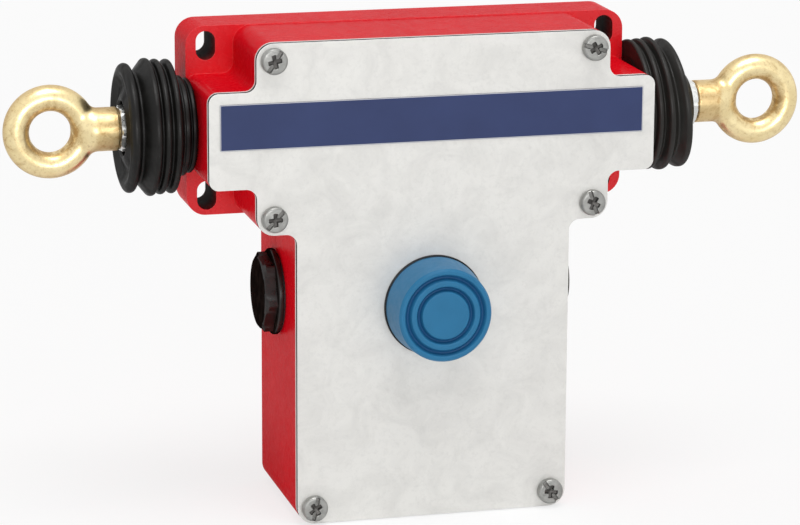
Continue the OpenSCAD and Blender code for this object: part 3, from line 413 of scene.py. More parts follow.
class Finish:
    """Node material: a Principled shader fed by textures on the object's own coordinates.

    A piece that stretches is painted by where its points lie at rest, which keep_rest stores.
    """

    def __init__(self, name, base, roughness, metallic=0.0, stretches=False):
        self.material = bpy.data.materials.new(name)
        self.material.use_nodes = True
        self.tree = self.material.node_tree
        self.shader = self.tree.nodes["Principled BSDF"]
        for socket, value in (("Base Color", base), ("Roughness", roughness), ("Metallic", metallic)):
            self.feed(socket, value)
        if stretches:
            self.place = self.add("ShaderNodeAttribute", attribute_name="rest").outputs["Vector"]
        else:
            self.place = self.add("ShaderNodeTexCoord").outputs["Object"]
        self.relief = None

    def fill(self, socket, value):
        """Gives an input a value, or links it to the output that feeds it."""
        if isinstance(value, bpy.types.NodeSocket):
            self.tree.links.new(value, socket)
        else:
            socket.default_value = (*value[:3], 1.0) if socket.type == "RGBA" else value

    def feed(self, name, value):
        """Fills one of the shader's inputs."""
        self.fill(self.shader.inputs[name], value)

    def add(self, kind, inputs=None, **settings):
        """New node; an input is a value or the output that feeds it."""
        node = self.tree.nodes.new(kind)
        for key, value in settings.items():
            setattr(node, key, value)
        for key, value in (inputs or {}).items():
            self.fill(node.inputs[key], value)
        return node

    def noise(self, scale, detail, stretch=None, rough=0.55, warp=0.0):
        """Cloudy texture between 0 and 1, with scale in lumps per metre."""
        place = self.place
        if stretch:
            place = self.add("ShaderNodeMapping", {"Vector": place, "Scale": stretch}).outputs["Vector"]
        inputs = {"Vector": place, "Scale": scale, "Detail": detail, "Roughness": rough, "Distortion": warp}
        return self.add("ShaderNodeTexNoise", inputs).outputs["Fac"]

    def spread(self, value, start=0.0, end=1.0, low=0.0, high=1.0):
        """Value from start to end, mapped to low to high and kept inside."""
        inputs = {"Value": value, "From Min": start, "From Max": end, "To Min": low, "To Max": high}
        return self.add("ShaderNodeMapRange", inputs).outputs["Result"]

    def patches(self, scale, detail, start=0.3, end=0.7, low=0.0, high=1.0, **how):
        """Cloudy texture that goes from low to high where it passes from start to end."""
        return self.spread(self.noise(scale, detail, **how), start, end, low, high)

    def toned(self, scale, base, dark, light):
        """Colour that drifts between two shades of the base in slow clouds."""
        return self.mixed(self.patches(scale, 3.0), shade(base, dark), shade(base, light))

    def maths(self, operation, first, second=0.0):
        """Result of one Math node."""
        return self.add("ShaderNodeMath", {0: first, 1: second}, operation=operation).outputs["Value"]

    def hypot(self, first, second):
        """Root of the sum of two squares."""
        squares = [self.maths("POWER", value, 2.0) for value in (first, second)]
        return self.maths("SQRT", self.maths("ADD", *squares))

    def mixed(self, share, first, second):
        """Colour between first and second."""
        node = self.add("ShaderNodeMix", {"Factor": share, 6: first, 7: second}, data_type="RGBA")
        return node.outputs[2]

    def axis(self, name):
        """One coordinate of the object's own space."""
        return self.add("ShaderNodeSeparateXYZ", {"Vector": self.place}).outputs[name]

    def coat(self, share, first, second):
        """Colours the piece between first and second."""
        self.feed("Base Color", self.mixed(share, first, second))

    def gloss(self, scale, detail, low, high):
        """Roughness that wavers between low and high."""
        self.feed("Roughness", self.patches(scale, detail, low=low, high=high))

    def sheen(self, facing, grazing):
        """Gloss level that goes from facing to grazing as the surface turns away."""
        turn = self.add("ShaderNodeLayerWeight", {"Blend": 0.5}).outputs["Facing"]
        self.feed("Specular IOR Level", self.spread(turn, 0.3, 0.68, facing, grazing))

    def bump(self, height, depth, strength):
        """Adds relief of the given depth in metres."""
        inputs = {"Height": height, "Strength": strength, "Distance": depth}
        if self.relief is not None:
            inputs["Normal"] = self.relief
        self.relief = self.add("ShaderNodeBump", inputs).outputs["Normal"]
        self.feed("Normal", self.relief)

    def grain(self, scale, detail, depth, strength, **how):
        """Adds relief from a cloudy texture."""
        self.bump(self.noise(scale, detail, **how), depth, strength)


def metal(name, base, roughness, grain=900.0, stain=0.12):
    """Plated or machined metal: cloudy tint, uneven gloss and fine tool grain."""
    made = Finish(name, base, roughness, 1.0)
    dull = shade(base, 1.0 - stain * 2.2)
    made.coat(made.patches(140.0, 4.0, 0.35, 0.8, high=0.7), base, dull)
    made.gloss(grain, 2.0, roughness * 0.8, roughness * 1.25)
    made.grain(grain * 2.2, 2.0, 0.03 * MM, 0.5)
    return made.material


def moulded(name, base, roughness):
    """Moulded plastic or rubber: faint tone changes and a fine tool texture."""
    made = Finish(name, base, roughness)
    made.feed("Base Color", made.toned(90.0, base, 0.86, 1.1))
    made.gloss(420.0, 3.0, roughness * 0.85, min(1.0, roughness * 1.2))
    made.grain(2600.0, 2.0, 0.03 * MM, 0.5)
    return made.material


def casting_paint(name, base):
    """Semi-gloss paint over a die casting: slow changes of tone and gloss and a slight waviness."""
    made = Finish(name, base, 0.28)
    made.feed("Base Color", made.toned(45.0, base, 0.95, 1.04))
    made.gloss(300.0, 4.0, 0.22, 0.32)
    made.sheen(0.40, 0.006)
    made.grain(120.0, 1.0, 0.02 * MM, 0.15)
    return made.material


def painted_slot_shade(mouth, deep):
    """Wall of a slot, painted as shade: dark red at its mouth that fades to near black by depth behind the body's
    front.
    """
    made = Finish("slot painted shade", deep, 0.7)
    ragged = made.maths("MULTIPLY", made.noise(260.0, 3.0), 1.2 * MM)
    depth = made.maths("ADD", made.axis("Y"), ragged)
    inside = made.spread(depth, BODY_FRONT + 33 * MM, BODY_FRONT + 41 * MM)
    made.coat(inside, mouth, deep)
    made.feed("Roughness", made.patches(500.0, 3.0, 0.0, 1.0, 0.6, 0.85))
    made.sheen(0.12, 0.05)
    made.grain(700.0, 3.0, 0.05 * MM, 1.0)
    return made.material


def cover_sheet(base):
    """Rolled sheet: pale and satin, with soft blotches and small specks."""
    made = Finish("cover sheet", base, 0.42, 0.35)
    blotch = made.patches(95.0, 6.0, 0.40, 0.70, rough=0.65, warp=0.8)
    speck = made.patches(620.0, 4.0, 0.50, 0.78, rough=0.7)
    pale = made.mixed(made.maths("MULTIPLY", blotch, 0.8), base, shade(base, 0.85))
    made.coat(made.maths("MULTIPLY", speck, 0.45), pale, shade(base, 0.78))
    made.feed("Roughness", made.spread(speck, low=0.38, high=0.5))
    made.grain(1800.0, 2.0, 0.02 * MM, 0.4, stretch=(1.0, 1.0, 0.25))
    made.bump(blotch, 0.03 * MM, 0.4)
    return made.material


def cover_rim_highlight(base):
    """Rounded rim of the sheet, painted paler than the sheet as a highlight, and mottled."""
    made = Finish("cover rim painted highlight", base, 0.4, 0.35)
    made.coat(made.patches(300.0, 3.0, 0.4, 0.75), base, shade(base, 0.88))
    made.gloss(700.0, 2.0, 0.34, 0.48)
    return made.material


def shaded_cut_edge(base):
    """Sheared side of the sheet, painted nearly black as shade, matt and faintly streaked across its thickness.
    """
    made = Finish("cover cut edge painted shade", base, 0.7)
    streak = made.patches(900.0, 3.0, 0.35, 0.7, stretch=(1.0, 0.2, 1.0))
    made.coat(streak, shade(base, 0.8), shade(base, 1.5))
    made.feed("Specular IOR Level", 0.05)
    made.feed("Roughness", made.spread(streak, low=0.6, high=0.8))
    return made.material


def band_print_and_edge_light(base, middle, half, rim):
    """Printed film: slate blue print in a pale line of painted highlight, whose outer part is painted grey as
    shade on the film's edge, by distance past a rectangle's border.
    """
    made = Finish("band print with painted edge light", base, 0.36)
    past = []
    for name, at, reach in zip("XZ", middle, half):
        away = made.maths("ABSOLUTE", made.maths("SUBTRACT", made.axis(name), at))
        past.append(made.maths("SUBTRACT", away, reach - rim))
    edge = made.maths("MAXIMUM", *past)
    blue = made.toned(60.0, base, 0.93, 1.07)
    # Pale line round the print: a painted highlight on the film's edge
    with_painted_highlight = made.mixed(made.spread(edge, -0.02 * MM, 0.02 * MM), blue, (0.62, 0.63, 0.68))
    # Grey beyond it, over the turned-down edge: painted shade
    outer = made.spread(edge, rim * 0.6, rim * 0.7)
    made.coat(outer, with_painted_highlight, (0.22, 0.22, 0.25))
    made.sheen(0.22, 0.10)
    made.gloss(700.0, 3.0, 0.30, 0.42)
    made.grain(1500.0, 2.0, 0.01 * MM, 0.4)
    return made.material


def passivated(base, blemish_and_edge_shade, middle, hole, seat):
    """Yellow passivated zinc on a forging: pale gold, with brown round the ring's hole and at the seat, and
    painted shade darkening the ring's outer edge.

    middle and seat are distances along X, of the ring's middle and of the seat; hole is the hole's radius.
    """
    made = Finish("passivated zinc", base, 0.40, 1.0)
    cloud = made.patches(130.0, 4.0, 0.32, 0.72, warp=0.5)
    pale = made.mixed(cloud, base, shade(base, 1.12, 1.17, 1.30))
    out = made.maths("ABSOLUTE", made.axis("X"))
    reach = made.hypot(made.maths("SUBTRACT", out, middle), made.axis("Z"))
    inner = made.spread(reach, hole + 0.2 * MM, hole + 3.4 * MM, 1.0, 0.0)
    nut_end = made.spread(out, seat + 0.2 * MM, seat + 3.0 * MM, 1.0, 0.0)
    worn = made.patches(330.0, 5.0, 0.38, 0.62, low=0.15, rough=0.65, warp=0.9)
    stain = made.maths("MULTIPLY", made.maths("MAXIMUM", inner, nut_end), worn)
    freckle = made.patches(1000.0, 5.0, 0.52, 0.82, high=0.6, rough=0.7)
    smear = made.patches(210.0, 5.0, 0.50, 0.82, high=0.6, rough=0.65, warp=1.2)
    # Painted shade: the ring's outer edge is darkened
    outer = made.spread(reach, hole + 6.6 * MM, hole + 8.0 * MM, 0.0, 0.7)
    rim = made.maths("MULTIPLY", outer, made.spread(cloud, low=0.4))
    marks_and_edge_shade = made.maths("ADD", made.maths("ADD", freckle, smear), made.maths("MAXIMUM", stain, rim))
    marks_and_edge_shade = made.maths("MINIMUM", marks_and_edge_shade, 0.8)
    made.coat(marks_and_edge_shade, pale, blemish_and_edge_shade)
    made.feed("Roughness", made.spread(marks_and_edge_shade, low=0.30, high=0.52))
    made.grain(330.0, 4.0, 0.14 * MM, 0.45)
    made.grain(1500.0, 3.0, 0.04 * MM, 0.5)
    return made.material


def button_blue_with_painted_shade(sizes):
    """Moulded blue with painted shade: darker in the grooves, by depth below the face, and nearly black at the
    foot.
    """
    made = Finish("button blue with painted shade", sizes.blue, 0.42, stretches=True)
    blue = made.toned(110.0, sizes.blue, 0.95, 1.06)
    radius = made.hypot(made.axis("X"), made.maths("SUBTRACT", made.axis("Z"), BUTTON_Z))
    # Painted shade in the grooves: darker inside the outer groove, by depth below the face
    inside = made.spread(radius, GROOVES[0][0] - 0.1 * MM, GROOVES[0][0] + 0.3 * MM, 1.0, 0.0)
    deep = made.spread(made.axis("Y"), BUTTON_FACE + 0.15 * MM, BUTTON_FACE + sizes.groove_depth)
    blue = made.mixed(made.maths("MULTIPLY", inside, deep), blue, sizes.groove)
    # Painted shade: near black below the top of the foot
    foot = COVER_FACE - sizes.foot
    under = made.spread(made.axis("Y"), foot, foot + 0.1 * MM)
    made.coat(under, blue, (0.012, 0.013, 0.016))
    made.gloss(600.0, 3.0, 0.36, 0.48)
    made.sheen(0.22, 0.30)
    made.grain(2400.0, 2.0, 0.03 * MM, 0.4)
    return made.material


def boot_rubber(base, dust):
    """Moulded rubber: dusty bloom in patches, a paler right-hand bellows and a fine matt skin."""
    made = Finish("boot rubber", base, 0.36, stretches=True)
    bloom = made.patches(160.0, 5.0, 0.45, 0.80, rough=0.65)
    # The right-hand bellows is mixed towards the bloom colour, so it is paler
    paler_right_side = made.spread(made.axis("X"), -10 * MM, 10 * MM, high=0.85)
    film = made.maths("ADD", made.maths("MULTIPLY", bloom, 0.55), paler_right_side)
    made.coat(film, base, dust)
    made.gloss(500.0, 4.0, 0.28, 0.44)
    made.sheen(0.23, 0.02)
    made.grain(1900.0, 3.0, 0.03 * MM, 0.4)
    return made.material


def plug_plastic(base, edge):
    """Dark brown-black moulding, a little paler where it has been rubbed."""
    made = Finish("plug plastic", base, 0.3)
    made.coat(made.patches(260.0, 4.0, 0.45, 0.8, high=0.6), base, edge)
    made.gloss(500.0, 3.0, 0.24, 0.42)
    made.sheen(0.42, 0.0)
    made.grain(900.0, 3.0, 0.03 * MM, 0.4)
    return made.material


def screw_zinc(base, recess, top):
    """Dull zinc on a screw head, mottled, with painted shade in its recesses, darker by depth below the top."""
    made = Finish("screw zinc", base, 0.36, 0.85)
    grey = made.mixed(made.patches(420.0, 4.0, 0.35, 0.7), base, shade(base, 0.72))
    # Painted shade: the recesses darken with depth below the head's top
    deep = made.spread(made.axis("Y"), top + 0.45 * MM, top + 0.95 * MM)
    within = made.add("ShaderNodeAttribute", attribute_name="recess").outputs["Fac"]
    made.coat(made.maths("MULTIPLY", deep, within), grey, recess)
    made.gloss(900.0, 3.0, 0.30, 0.46)
    made.grain(1500.0, 3.0, 0.05 * MM, 0.5)
    return made.material


# ---------------------------------------------------------------- operators


class SwitchOperator(bpy.types.Operator):
    """Base of the switch's operators."""

    bl_options = {"REGISTER", "UNDO"}

    @property
    def sizes(self):
        return bpy.context.scene.rope_switch


class SWITCH_OT_casting(SwitchOperator):
    """Builds the painted body with rounded cast edges, a painted highlight on the edges and painted shade in the
    wall slots
    """

    bl_idname = "rope_switch.casting"
    bl_label = "Cast Body"

    ear_front = -18 * MM

    def execute(self, context):
        sizes = self.sizes.casting
        # Second material: painted shade in the wall slots
        dark = painted_slot_shade(sizes.slot_mouth_shade, sizes.slot)
        paint = casting_paint("casting paint", sizes.paint)
        # Third material, on the bevels: lighter paint as a painted highlight on the edges
        rim = casting_paint("casting paint with painted edge highlight", sizes.edge_highlight_paint)
        body = edged_copy("housing", "body_casting", [paint, dark, rim], sizes.edge, 2)
        self.paint_shade_in_slots(body.data)
        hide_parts("housing")
        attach(body, "housing")
        return {"FINISHED"}

    def paint_shade_in_slots(self, mesh):
        """Gives the slots' inner walls the second material, which paints shade on them.

        They are the faces within a slot's outline that lie behind the ears' front and don't face forwards.
        """
        centre, normal = triples(mesh.polygons, "center"), triples(mesh.polygons, "normal")
        slots = next(m for m in frame["record"]["mounts"] if m["name"] == "wall_slots_left")
        dims = slots["dims"]
        inside = (np.abs(normal[:, 1]) < 0.5) & (centre[:, 1] > self.ear_front)
        for axis, pitch, reach in (
            (0, abs(slots["pos_m"][0]), dims["hole_r_mm"] * MM),
            (2, dims["spacing_y_mm"] * MM / 2, dims["slot_length_mm"] * MM / 2),
        ):
            inside &= np.abs(np.abs(centre[:, axis]) - pitch) < reach + 0.1 * MM
        mesh.polygons.foreach_set("material_index", inside.astype(np.int32))


class SWITCH_OT_cover(SwitchOperator):
    """Builds the sheet cover, the pressed gasket behind it and the bare blue band"""

    bl_idname = "rope_switch.cover"
    bl_label = "Cover"

    def execute(self, context):
        sizes = self.sizes.casting
        finishes = [cover_sheet(sizes.sheet), cover_rim_highlight(sizes.sheet_rim_highlight), shaded_cut_edge(sizes.cut)]
        sheet = edged_copy("cover_plate", "cover_sheet", finishes, sizes.sheet_edge, 1)
        self.paint_shade_on_cut(sheet.data)
        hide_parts("cover_plate")
        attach(sheet, "housing")
        self.gasket(sizes)
        self.band(sizes)
        return {"FINISHED"}

    def paint_shade_on_cut(self, mesh):
        """Gives the sheared sides, which face neither front nor back, the third material, their painted shade."""
        side = np.abs(triples(mesh.polygons, "normal")[:, 1]) < 0.5
        mesh.polygons.foreach_set("material_index", np.where(side, 2, 0).astype(np.int32))

    def gasket(self, sizes):
        """Copy of the gasket, each point moved outwards in its own plane by the squeeze."""
        finish = moulded("gasket sheet", sizes.gasket, 0.7)
        gasket = copied("cover_gasket", "pressed_gasket", [finish], 30, 0.6)
        points = gasket.data.vertices
        outwards = unit(triples(points, "normal") * (1, 0, 1))
        points.foreach_set("co", (triples(points, "co") + outwards * sizes.gasket_out).ravel())
        gasket.data.update()
        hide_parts("cover_gasket")
        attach(gasket, "housing")

    def band(self, sizes):
        """Film with rounded corners: rings over a rectangle, the outer one turned down to the sheet.

        A ring is the border scaled by its share about the middle, at its own height.
        """
        low, high = (np.array(point)[[0, 2]] for point in corners("cover_band"))
        front = corners("cover_band")[0][1]
        low, high = low - np.array([1.0, 0.5]) * sizes.band_out, high + np.array([0.0, 0.6]) * sizes.band_out
        middle, half, corner = (low + high) / 2, (high - low) / 2, 0.35 * MM
        ring = circle(96)
        way = np.stack([np.cos(ring), np.sin(ring)], -1)
        border = np.sign(way) * (half - corner) + corner * way
        face, back = front + 0.02 * MM, COVER_FACE + 0.05 * MM
        rows = (0.0, back), (1.0, back), (1.0, face + 0.06 * MM), (1.0 - 0.0006, face), (0.0, face)
        skin = np.stack([np.insert(middle + border * share, 1, height, axis=1) for share, height in rows])
        film = finished("band_film", [skin], band_print_and_edge_light(sizes.band, middle, half, sizes.band_highlight_width))
        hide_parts("cover_band")
        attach(film, "housing")


class SWITCH_OT_screws(SwitchOperator):
    """Builds the six cover screws, each with a straight slot and a cross recess"""

    bl_idname = "rope_switch.screws"
    bl_label = "Cover Screws"

    # Turn of each head's slot in degrees, upper heads first and from left to right
    turns = (57, -16, 47, 108, 78, 126)

    def execute(self, context):
        sizes = self.sizes.screws
        points = triples(frame["nodes"]["cover_screws"].data.vertices, "co")
        top = points[:, 1].min()
        spots = self.head_centres(points, sizes.head_radius)
        zinc = screw_zinc(sizes.zinc, sizes.recess, top)
        heads = [self.head(spot, math.radians(turn), top, sizes) for spot, turn in zip(spots, self.turns)]
        screws = finished("cover_screw_set", heads, zinc)
        self.mark_recesses(screws.data, spots, sizes)
        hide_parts("cover_screws")
        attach(screws, "housing")
        return {"FINISHED"}

    def head_centres(self, points, radius):
        """Middle of each head, upper ones first and from left to right."""
        left = points[points[:, 1] < COVER_FACE - 0.5 * MM][:, [0, 2]]
        centres = []
        while len(left):
            near = np.linalg.norm(left - left[0], axis=1) < 2.5 * radius
            centres.append((left[near].min(0) + left[near].max(0)) / 2)
            left = left[~near]
        return sorted(centres, key=lambda c: (-round(c[1], 3), c[0]))

    def mark_recesses(self, mesh, spots, sizes):
        """Stores 1 on the points within a head's flat face and 0 on its side, which gets no painted shade."""
        place = triples(mesh.vertices, "co")[:, [0, 2]]
        away = np.min([np.linalg.norm(place - spot, axis=1) for spot in spots], axis=0)
        recess = mesh.attributes.new("recess", "FLOAT", "POINT")
        recess.data.foreach_set("value", (away < sizes.head_radius - 0.25 * MM).astype(np.float32))

    def head(self, spot, turn, top, sizes):
        """Head: height over the cover = cap - the deeper of slot and cross, over radius and angle.

        The cap is flat with a rounded edge. The slot is a trough with steep walls through the middle.
        The cross is two shorter troughs with blunt ends, deepest in the middle.
        """
        outer = sizes.head_radius
        wall, cross_depth, lowest = 0.14 * MM, 0.9 * MM, 0.55 * MM
        r = np.concatenate([np.linspace(0.0, 0.80, 44), np.linspace(0.81, 1.0, 14)])[:, None] * outer
        a = circle(180)[None, :]
        x, z = r * np.cos(a), r * np.sin(a)
        rim = np.clip((r - (outer - sizes.dome)) / sizes.dome, 0.0, 1.0)
        dome = sizes.dome * (1.0 - np.sqrt(1.0 - rim**2))
        cap = COVER_FACE - top - dome - 0.12 * MM * (r / outer) ** 2 + 0 * a
        along, across = x * math.cos(turn) + z * math.sin(turn), -x * math.sin(turn) + z * math.cos(turn)

        def trough(distance, width):
            return np.clip((width / 2 - np.abs(distance)) / wall + 0.5, 0.0, 1.0)

        slot = sizes.slot_depth * trough(across, sizes.slot_width)
        reach = np.hypot(x, z)
        near = np.clip(1.0 - reach / sizes.cross_reach, 0.0, 1.0)
        diagonals = (along + across) / math.sqrt(2), (along - across) / math.sqrt(2)
        wing = np.maximum(*(trough(distance, sizes.cross_width) for distance in diagonals))
        cross = cross_depth * (1.0 + near) * wing * trough(reach, 2 * sizes.cross_reach)
        cap = np.maximum(cap - np.maximum(slot, cross), lowest)
        face = np.stack([spot[0] + x, COVER_FACE - cap, spot[1] + z], -1)
        skirt = np.array([(outer, 0.3 * MM), (outer - 0.15 * MM, 0.02 * MM), (0.0, 0.02 * MM)])
        ring = np.stack([np.cos(a[0]), 0 * a[0], np.sin(a[0])], -1)
        under = np.array([spot[0], COVER_FACE, spot[1]]) + skirt[:, 0, None, None] * ring
        under[..., 1] -= skirt[:, 1, None]
        return np.concatenate([face, under])


class SWITCH_OT_boots(SwitchOperator):
    """Builds the two rubber bellows, between the arm and the shaft"""

    bl_idname = "rope_switch.boots"
    bl_label = "Rubber Boots"

    hub_behind_nut = 1.7 * MM

    # folds and groove: shares of the span from arm to lip. groove_less: how much shallower the groove is.
    # lip_back, lip_more, round_more: how far the lip stands back, how much larger and how much rounder it is.
    # lean: tilt of the outer half. dish: depth of the dished end. end: how far the end stands out at the nut.
    left = SimpleNamespace(
        folds=(0.308, 0.468, 0.605), groove=0.815, groove_less=0.0, lip_back=0.0, lip_more=0.0,
        round_more=0.9 * MM, lean=0.0, dish=2.4 * MM, end=-0.1 * MM,
    )
    right = SimpleNamespace(
        folds=(0.13, 0.30, 0.52), groove=0.68, groove_less=1.8 * MM, lip_back=1.1 * MM, lip_more=0.6 * MM,
        round_more=0.0, lean=-0.11, dish=0.7 * MM, end=3.0 * MM,
    )

    def execute(self, context):
        sizes = self.sizes.boots
        rubber = boot_rubber(sizes.rubber, sizes.bloom)
        for name, side in SIDES:
            start, reach = from_middle("boot_" + name)
            hub_face = from_middle("lock_nut_" + name)[0] - self.hub_behind_nut
            skin = self.bellows(side, start, reach, hub_face, getattr(self, name), sizes)
            boot = finished("bellows_" + name, [skin], rubber, 70)
            keep_rest(boot)
            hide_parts("boot_" + name)
            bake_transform(boot)
        return {"FINISHED"}

    def bellows(self, side, start, reach, hub_face, shape, sizes):
        """Turned skin: two neck rings, three folds, a deep groove, a flared lip and a dished end at the hub.

        Each fold is a pair of corners at its crest rounded to the bend radius, with a valley between folds.
        A point leans along X by lean * its height over the pivot * a share. The share grows along the span
        and with the radius over the neck; past the groove it grows with the radius over the bore.
        """
        span = reach - start

        def at(share):
            return start + share * span

        neck, bend, more = sizes.neck_radius, sizes.bend, shape.round_more
        hub, bore, face_width, pivot = 7.7 * MM, 4.1 * MM, 8.4 * MM, 12 * MM
        groove_at, lip_at, lip = at(shape.groove), reach - shape.lip_back, sizes.lip_radius + shape.lip_more
        crests = [at(share) for share in shape.folds]
        radii = sizes.fold_radius - np.array([0.5, 0.35, 0.0]) * MM
        step = (crests[0] - 1.9 * MM - start) / 4.2
        outline = [
            (hub + 3 * MM, start), (neck - 0.5 * MM, start, 0.2 * MM),
            (neck, start + step * 0.4, 0.5 * MM), (neck, start + step * 1.2, 0.5 * MM),
            (neck - 0.8 * MM, start + step * 1.6, 0.2 * MM), (neck - 0.2 * MM, start + step * 1.9, 0.2 * MM),
            (neck + 0.8 * MM, start + step * 2.2, 0.5 * MM), (neck + 0.8 * MM, start + step * 3.2, 0.5 * MM),
            (neck + 0.4 * MM, start + step * 3.9, 0.6 * MM),
        ]
        for i, (crest, radius) in enumerate(zip(crests, radii)):
            outline += [(radius, crest - 0.75 * MM, bend), (radius, crest + 0.75 * MM, bend)]
            if i < 2:
                outline.append((radius - sizes.valley, (crest + crests[i + 1]) / 2, 0.4 * MM))
        outline += [
            (sizes.groove_radius + shape.groove_less, groove_at, 0.7 * MM),
            (lip - 0.1 * MM, lip_at - 2.2 * MM - more, 1.3 * MM),
            (lip, lip_at - 0.5 * MM - more / 2, 1.5 * MM + more / 2),
            (lip - 1.9 * MM - more, lip_at, 1.2 * MM + more),
            (lip - 5.0 * MM - more, lip_at - shape.dish, 3.0 * MM),
            (hub + 0.6 * MM, reach + shape.end, 0.8 * MM),
            (hub + 0.4 * MM, hub_face, 0.3 * MM), (bore, hub_face),
        ]
        profile = softened(outline, 6)
        skin = turned(profile, (0, SHAFT_Y, 0), (side, 0, 0), 192)
        radius, height = profile.T
        share = 0.35 + 0.65 * np.clip((height - at(0.3)) / (span * 0.6), 0.0, 1.0)
        grown = np.where(height > groove_at, (radius - bore) / face_width, (radius - neck) / (3 * MM))
        share *= np.clip(grown, 0.0, 1.0)
        skin[..., 0] += side * shape.lean * share[:, None] * (skin[..., 2] + pivot * (shape.lean < 0))
        return skin


class SWITCH_OT_eyes(SwitchOperator):
    """Builds the forged rope eyes and their white lock nuts"""

    bl_idname = "rope_switch.eyes"
    bl_label = "Rope Eyes"

    def execute(self, context):
        sizes = self.sizes.eyes
        seat, tip = from_middle("eye_right")
        middle = tip - sizes.ring_radius - sizes.stock_radius
        gold = passivated(sizes.gold, sizes.blemish_and_edge_shade, middle, sizes.ring_radius - sizes.stock_radius, seat)
        white = metal("nut zinc", sizes.nut, 0.3, 1000.0, 0.06)
        bore = 4.1 * MM
        for name, side in SIDES:
            eye = self.forging("rope_eye_" + name, side, seat, middle, gold, sizes)
            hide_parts("eye_" + name)
            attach(eye, "rope_shaft")
            low, high = corners("lock_nut_" + name)
            ends = from_middle("lock_nut_" + name)
            skin = hexagon((0, SHAFT_Y, 0), (side, 0, 0), high[2] - low[2], *ends, bore, 0.0, 0.25 * MM)
            nut = finished("lock_nut_white_" + name, [skin], white)
            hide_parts("lock_nut_" + name)
            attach(nut, "rope_shaft")
        return {"FINISHED"}

    def forging(self, name, side, seat, middle, gold, sizes):
        """Eye in one skin: a rough union of ring and shank on a grid, drawn onto the surface field = 0.

        Each round moves every point by - field * slope / |slope|^2, with the field kept within furthest.
        """
        rounds, step, furthest = 8, 0.02 * MM, 0.6 * MM
        a, b = circle(120)[:, None], circle(48)[None, :]
        across = sizes.ring_radius + sizes.stock_radius * np.cos(b)
        depth = SHAFT_Y + sizes.stock_radius * np.sin(b) + 0 * a
        ring = np.stack([side * middle + across * np.cos(a), depth, across * np.sin(a)], -1)
        near, thick = middle - sizes.ring_radius, sizes.shank_radius
        rod = np.array([(0.0, seat), (thick, seat), (thick, near - 3 * MM), (2 * MM, near), (0.0, near)])
        shank = turned(rod, (0, SHAFT_Y, 0), (side, 0, 0), 96)
        rough = finished(name, [(ring, True), shank], gold, 180)
        fuse = rough.modifiers.new("fuse", "REMESH")
        fuse.mode, fuse.voxel_size = "VOXEL", sizes.voxel
        mesh = bpy.data.meshes.new_from_object(rough.evaluated_get(bpy.context.evaluated_depsgraph_get()))
        mesh.name = name
        rough.modifiers.clear()
        rough.data = mesh

        def field(points):
            return self.field(points, side, seat, middle, sizes)

        place = triples(mesh.vertices, "co")
        for _ in range(rounds):
            value = np.clip(field(place), -furthest, furthest)[:, None]
            slope = np.stack([field(place + d) - field(place - d) for d in np.eye(3) * step], -1) / (2 * step)
            place = place - value * slope / np.maximum((slope**2).sum(1), 0.2)[:, None]
        mesh.vertices.foreach_set("co", place.ravel())
        mesh.update()
        mesh.shade_smooth()
        return rough

    def field(self, place, side, seat, middle, sizes):
        """Distance to the eye's skin: smooth minimum of a torus and a rod with a long rounded nose.

        Torus: hypot(hypot(x - middle, z) - R, y) - r. Rod: hypot(reach past the straight part, radius) - shank
        radius, cut at the seat with a rounded edge. Smooth minimum: min(p, q) - (fillet - |p - q|)^2 / (4 fillet)
        near p = q.
        """
        nose_length, round_edge = 6.6 * MM, 0.7 * MM
        x, y, z = side * place[:, 0], place[:, 1] - SHAFT_Y, place[:, 2]
        torus = np.hypot(np.hypot(x - middle, z) - sizes.ring_radius, y) - sizes.stock_radius
        straight = middle - sizes.ring_radius - sizes.stock_radius + 0.3 * MM
        nose = np.maximum(x - straight, 0.0) * sizes.shank_radius / nose_length
        rod = np.sqrt(nose**2 + y**2 + z**2) - sizes.shank_radius
        end = seat - x
        blunt = np.maximum(round_edge - np.abs(rod - end), 0.0)
        rod = np.maximum(rod, end) + blunt**2 / (4 * round_edge)
        flow = np.maximum(sizes.fillet - np.abs(torus - rod), 0.0)
        return np.minimum(torus, rod) - flow**2 / (4 * sizes.fillet)


def hexagon(centre, axis, flats, low, high, bore, turn, edge):
    """Hexagon prism along an axis: radius = smooth minimum of the hexagon's edge and the turned chamfer cone.

    The hexagon's radius is (flats / 2) / cos(angle from the nearest flat).
    """
    a = circle(240)
    half, corner, soft = flats / 2, flats / math.sqrt(3), 0.18 * MM
    sides = half / np.cos((a - turn) % (np.pi / 3) - np.pi / 6)
    depth = (corner - half) * 0.62
    rings = [
        (high - depth, corner + edge), (high - edge, half + depth * 0.35),
        (high - 0.06 * MM, half - 0.2 * MM), (high, half - 0.7 * MM),
    ]
    if bore:
        chamfer = [(low, half - edge), (low + edge, half + depth * 0.2), (low + depth, corner + edge)]
        rings = [(low, bore)] + chamfer + rings + [(high, bore), (low, bore)]
    else:
        rings = [(low, corner + edge)] + rings + [(high, 0.0)]
    heights, cones = np.array(rings).T[..., None]
    gap = np.clip(0.5 + 0.5 * (cones - sides) / soft, 0.0, 1.0)
    radius = cones * (1 - gap) + sides * gap - soft * gap * (1 - gap)
    radius = np.where(cones <= max(bore, 1e-9), cones, radius)
    ring = np.stack([0 * a, -np.cos(a), np.sin(a)], -1)
    return np.array(centre) + heights[..., None] * np.array(axis, float) + radius[..., None] * ring


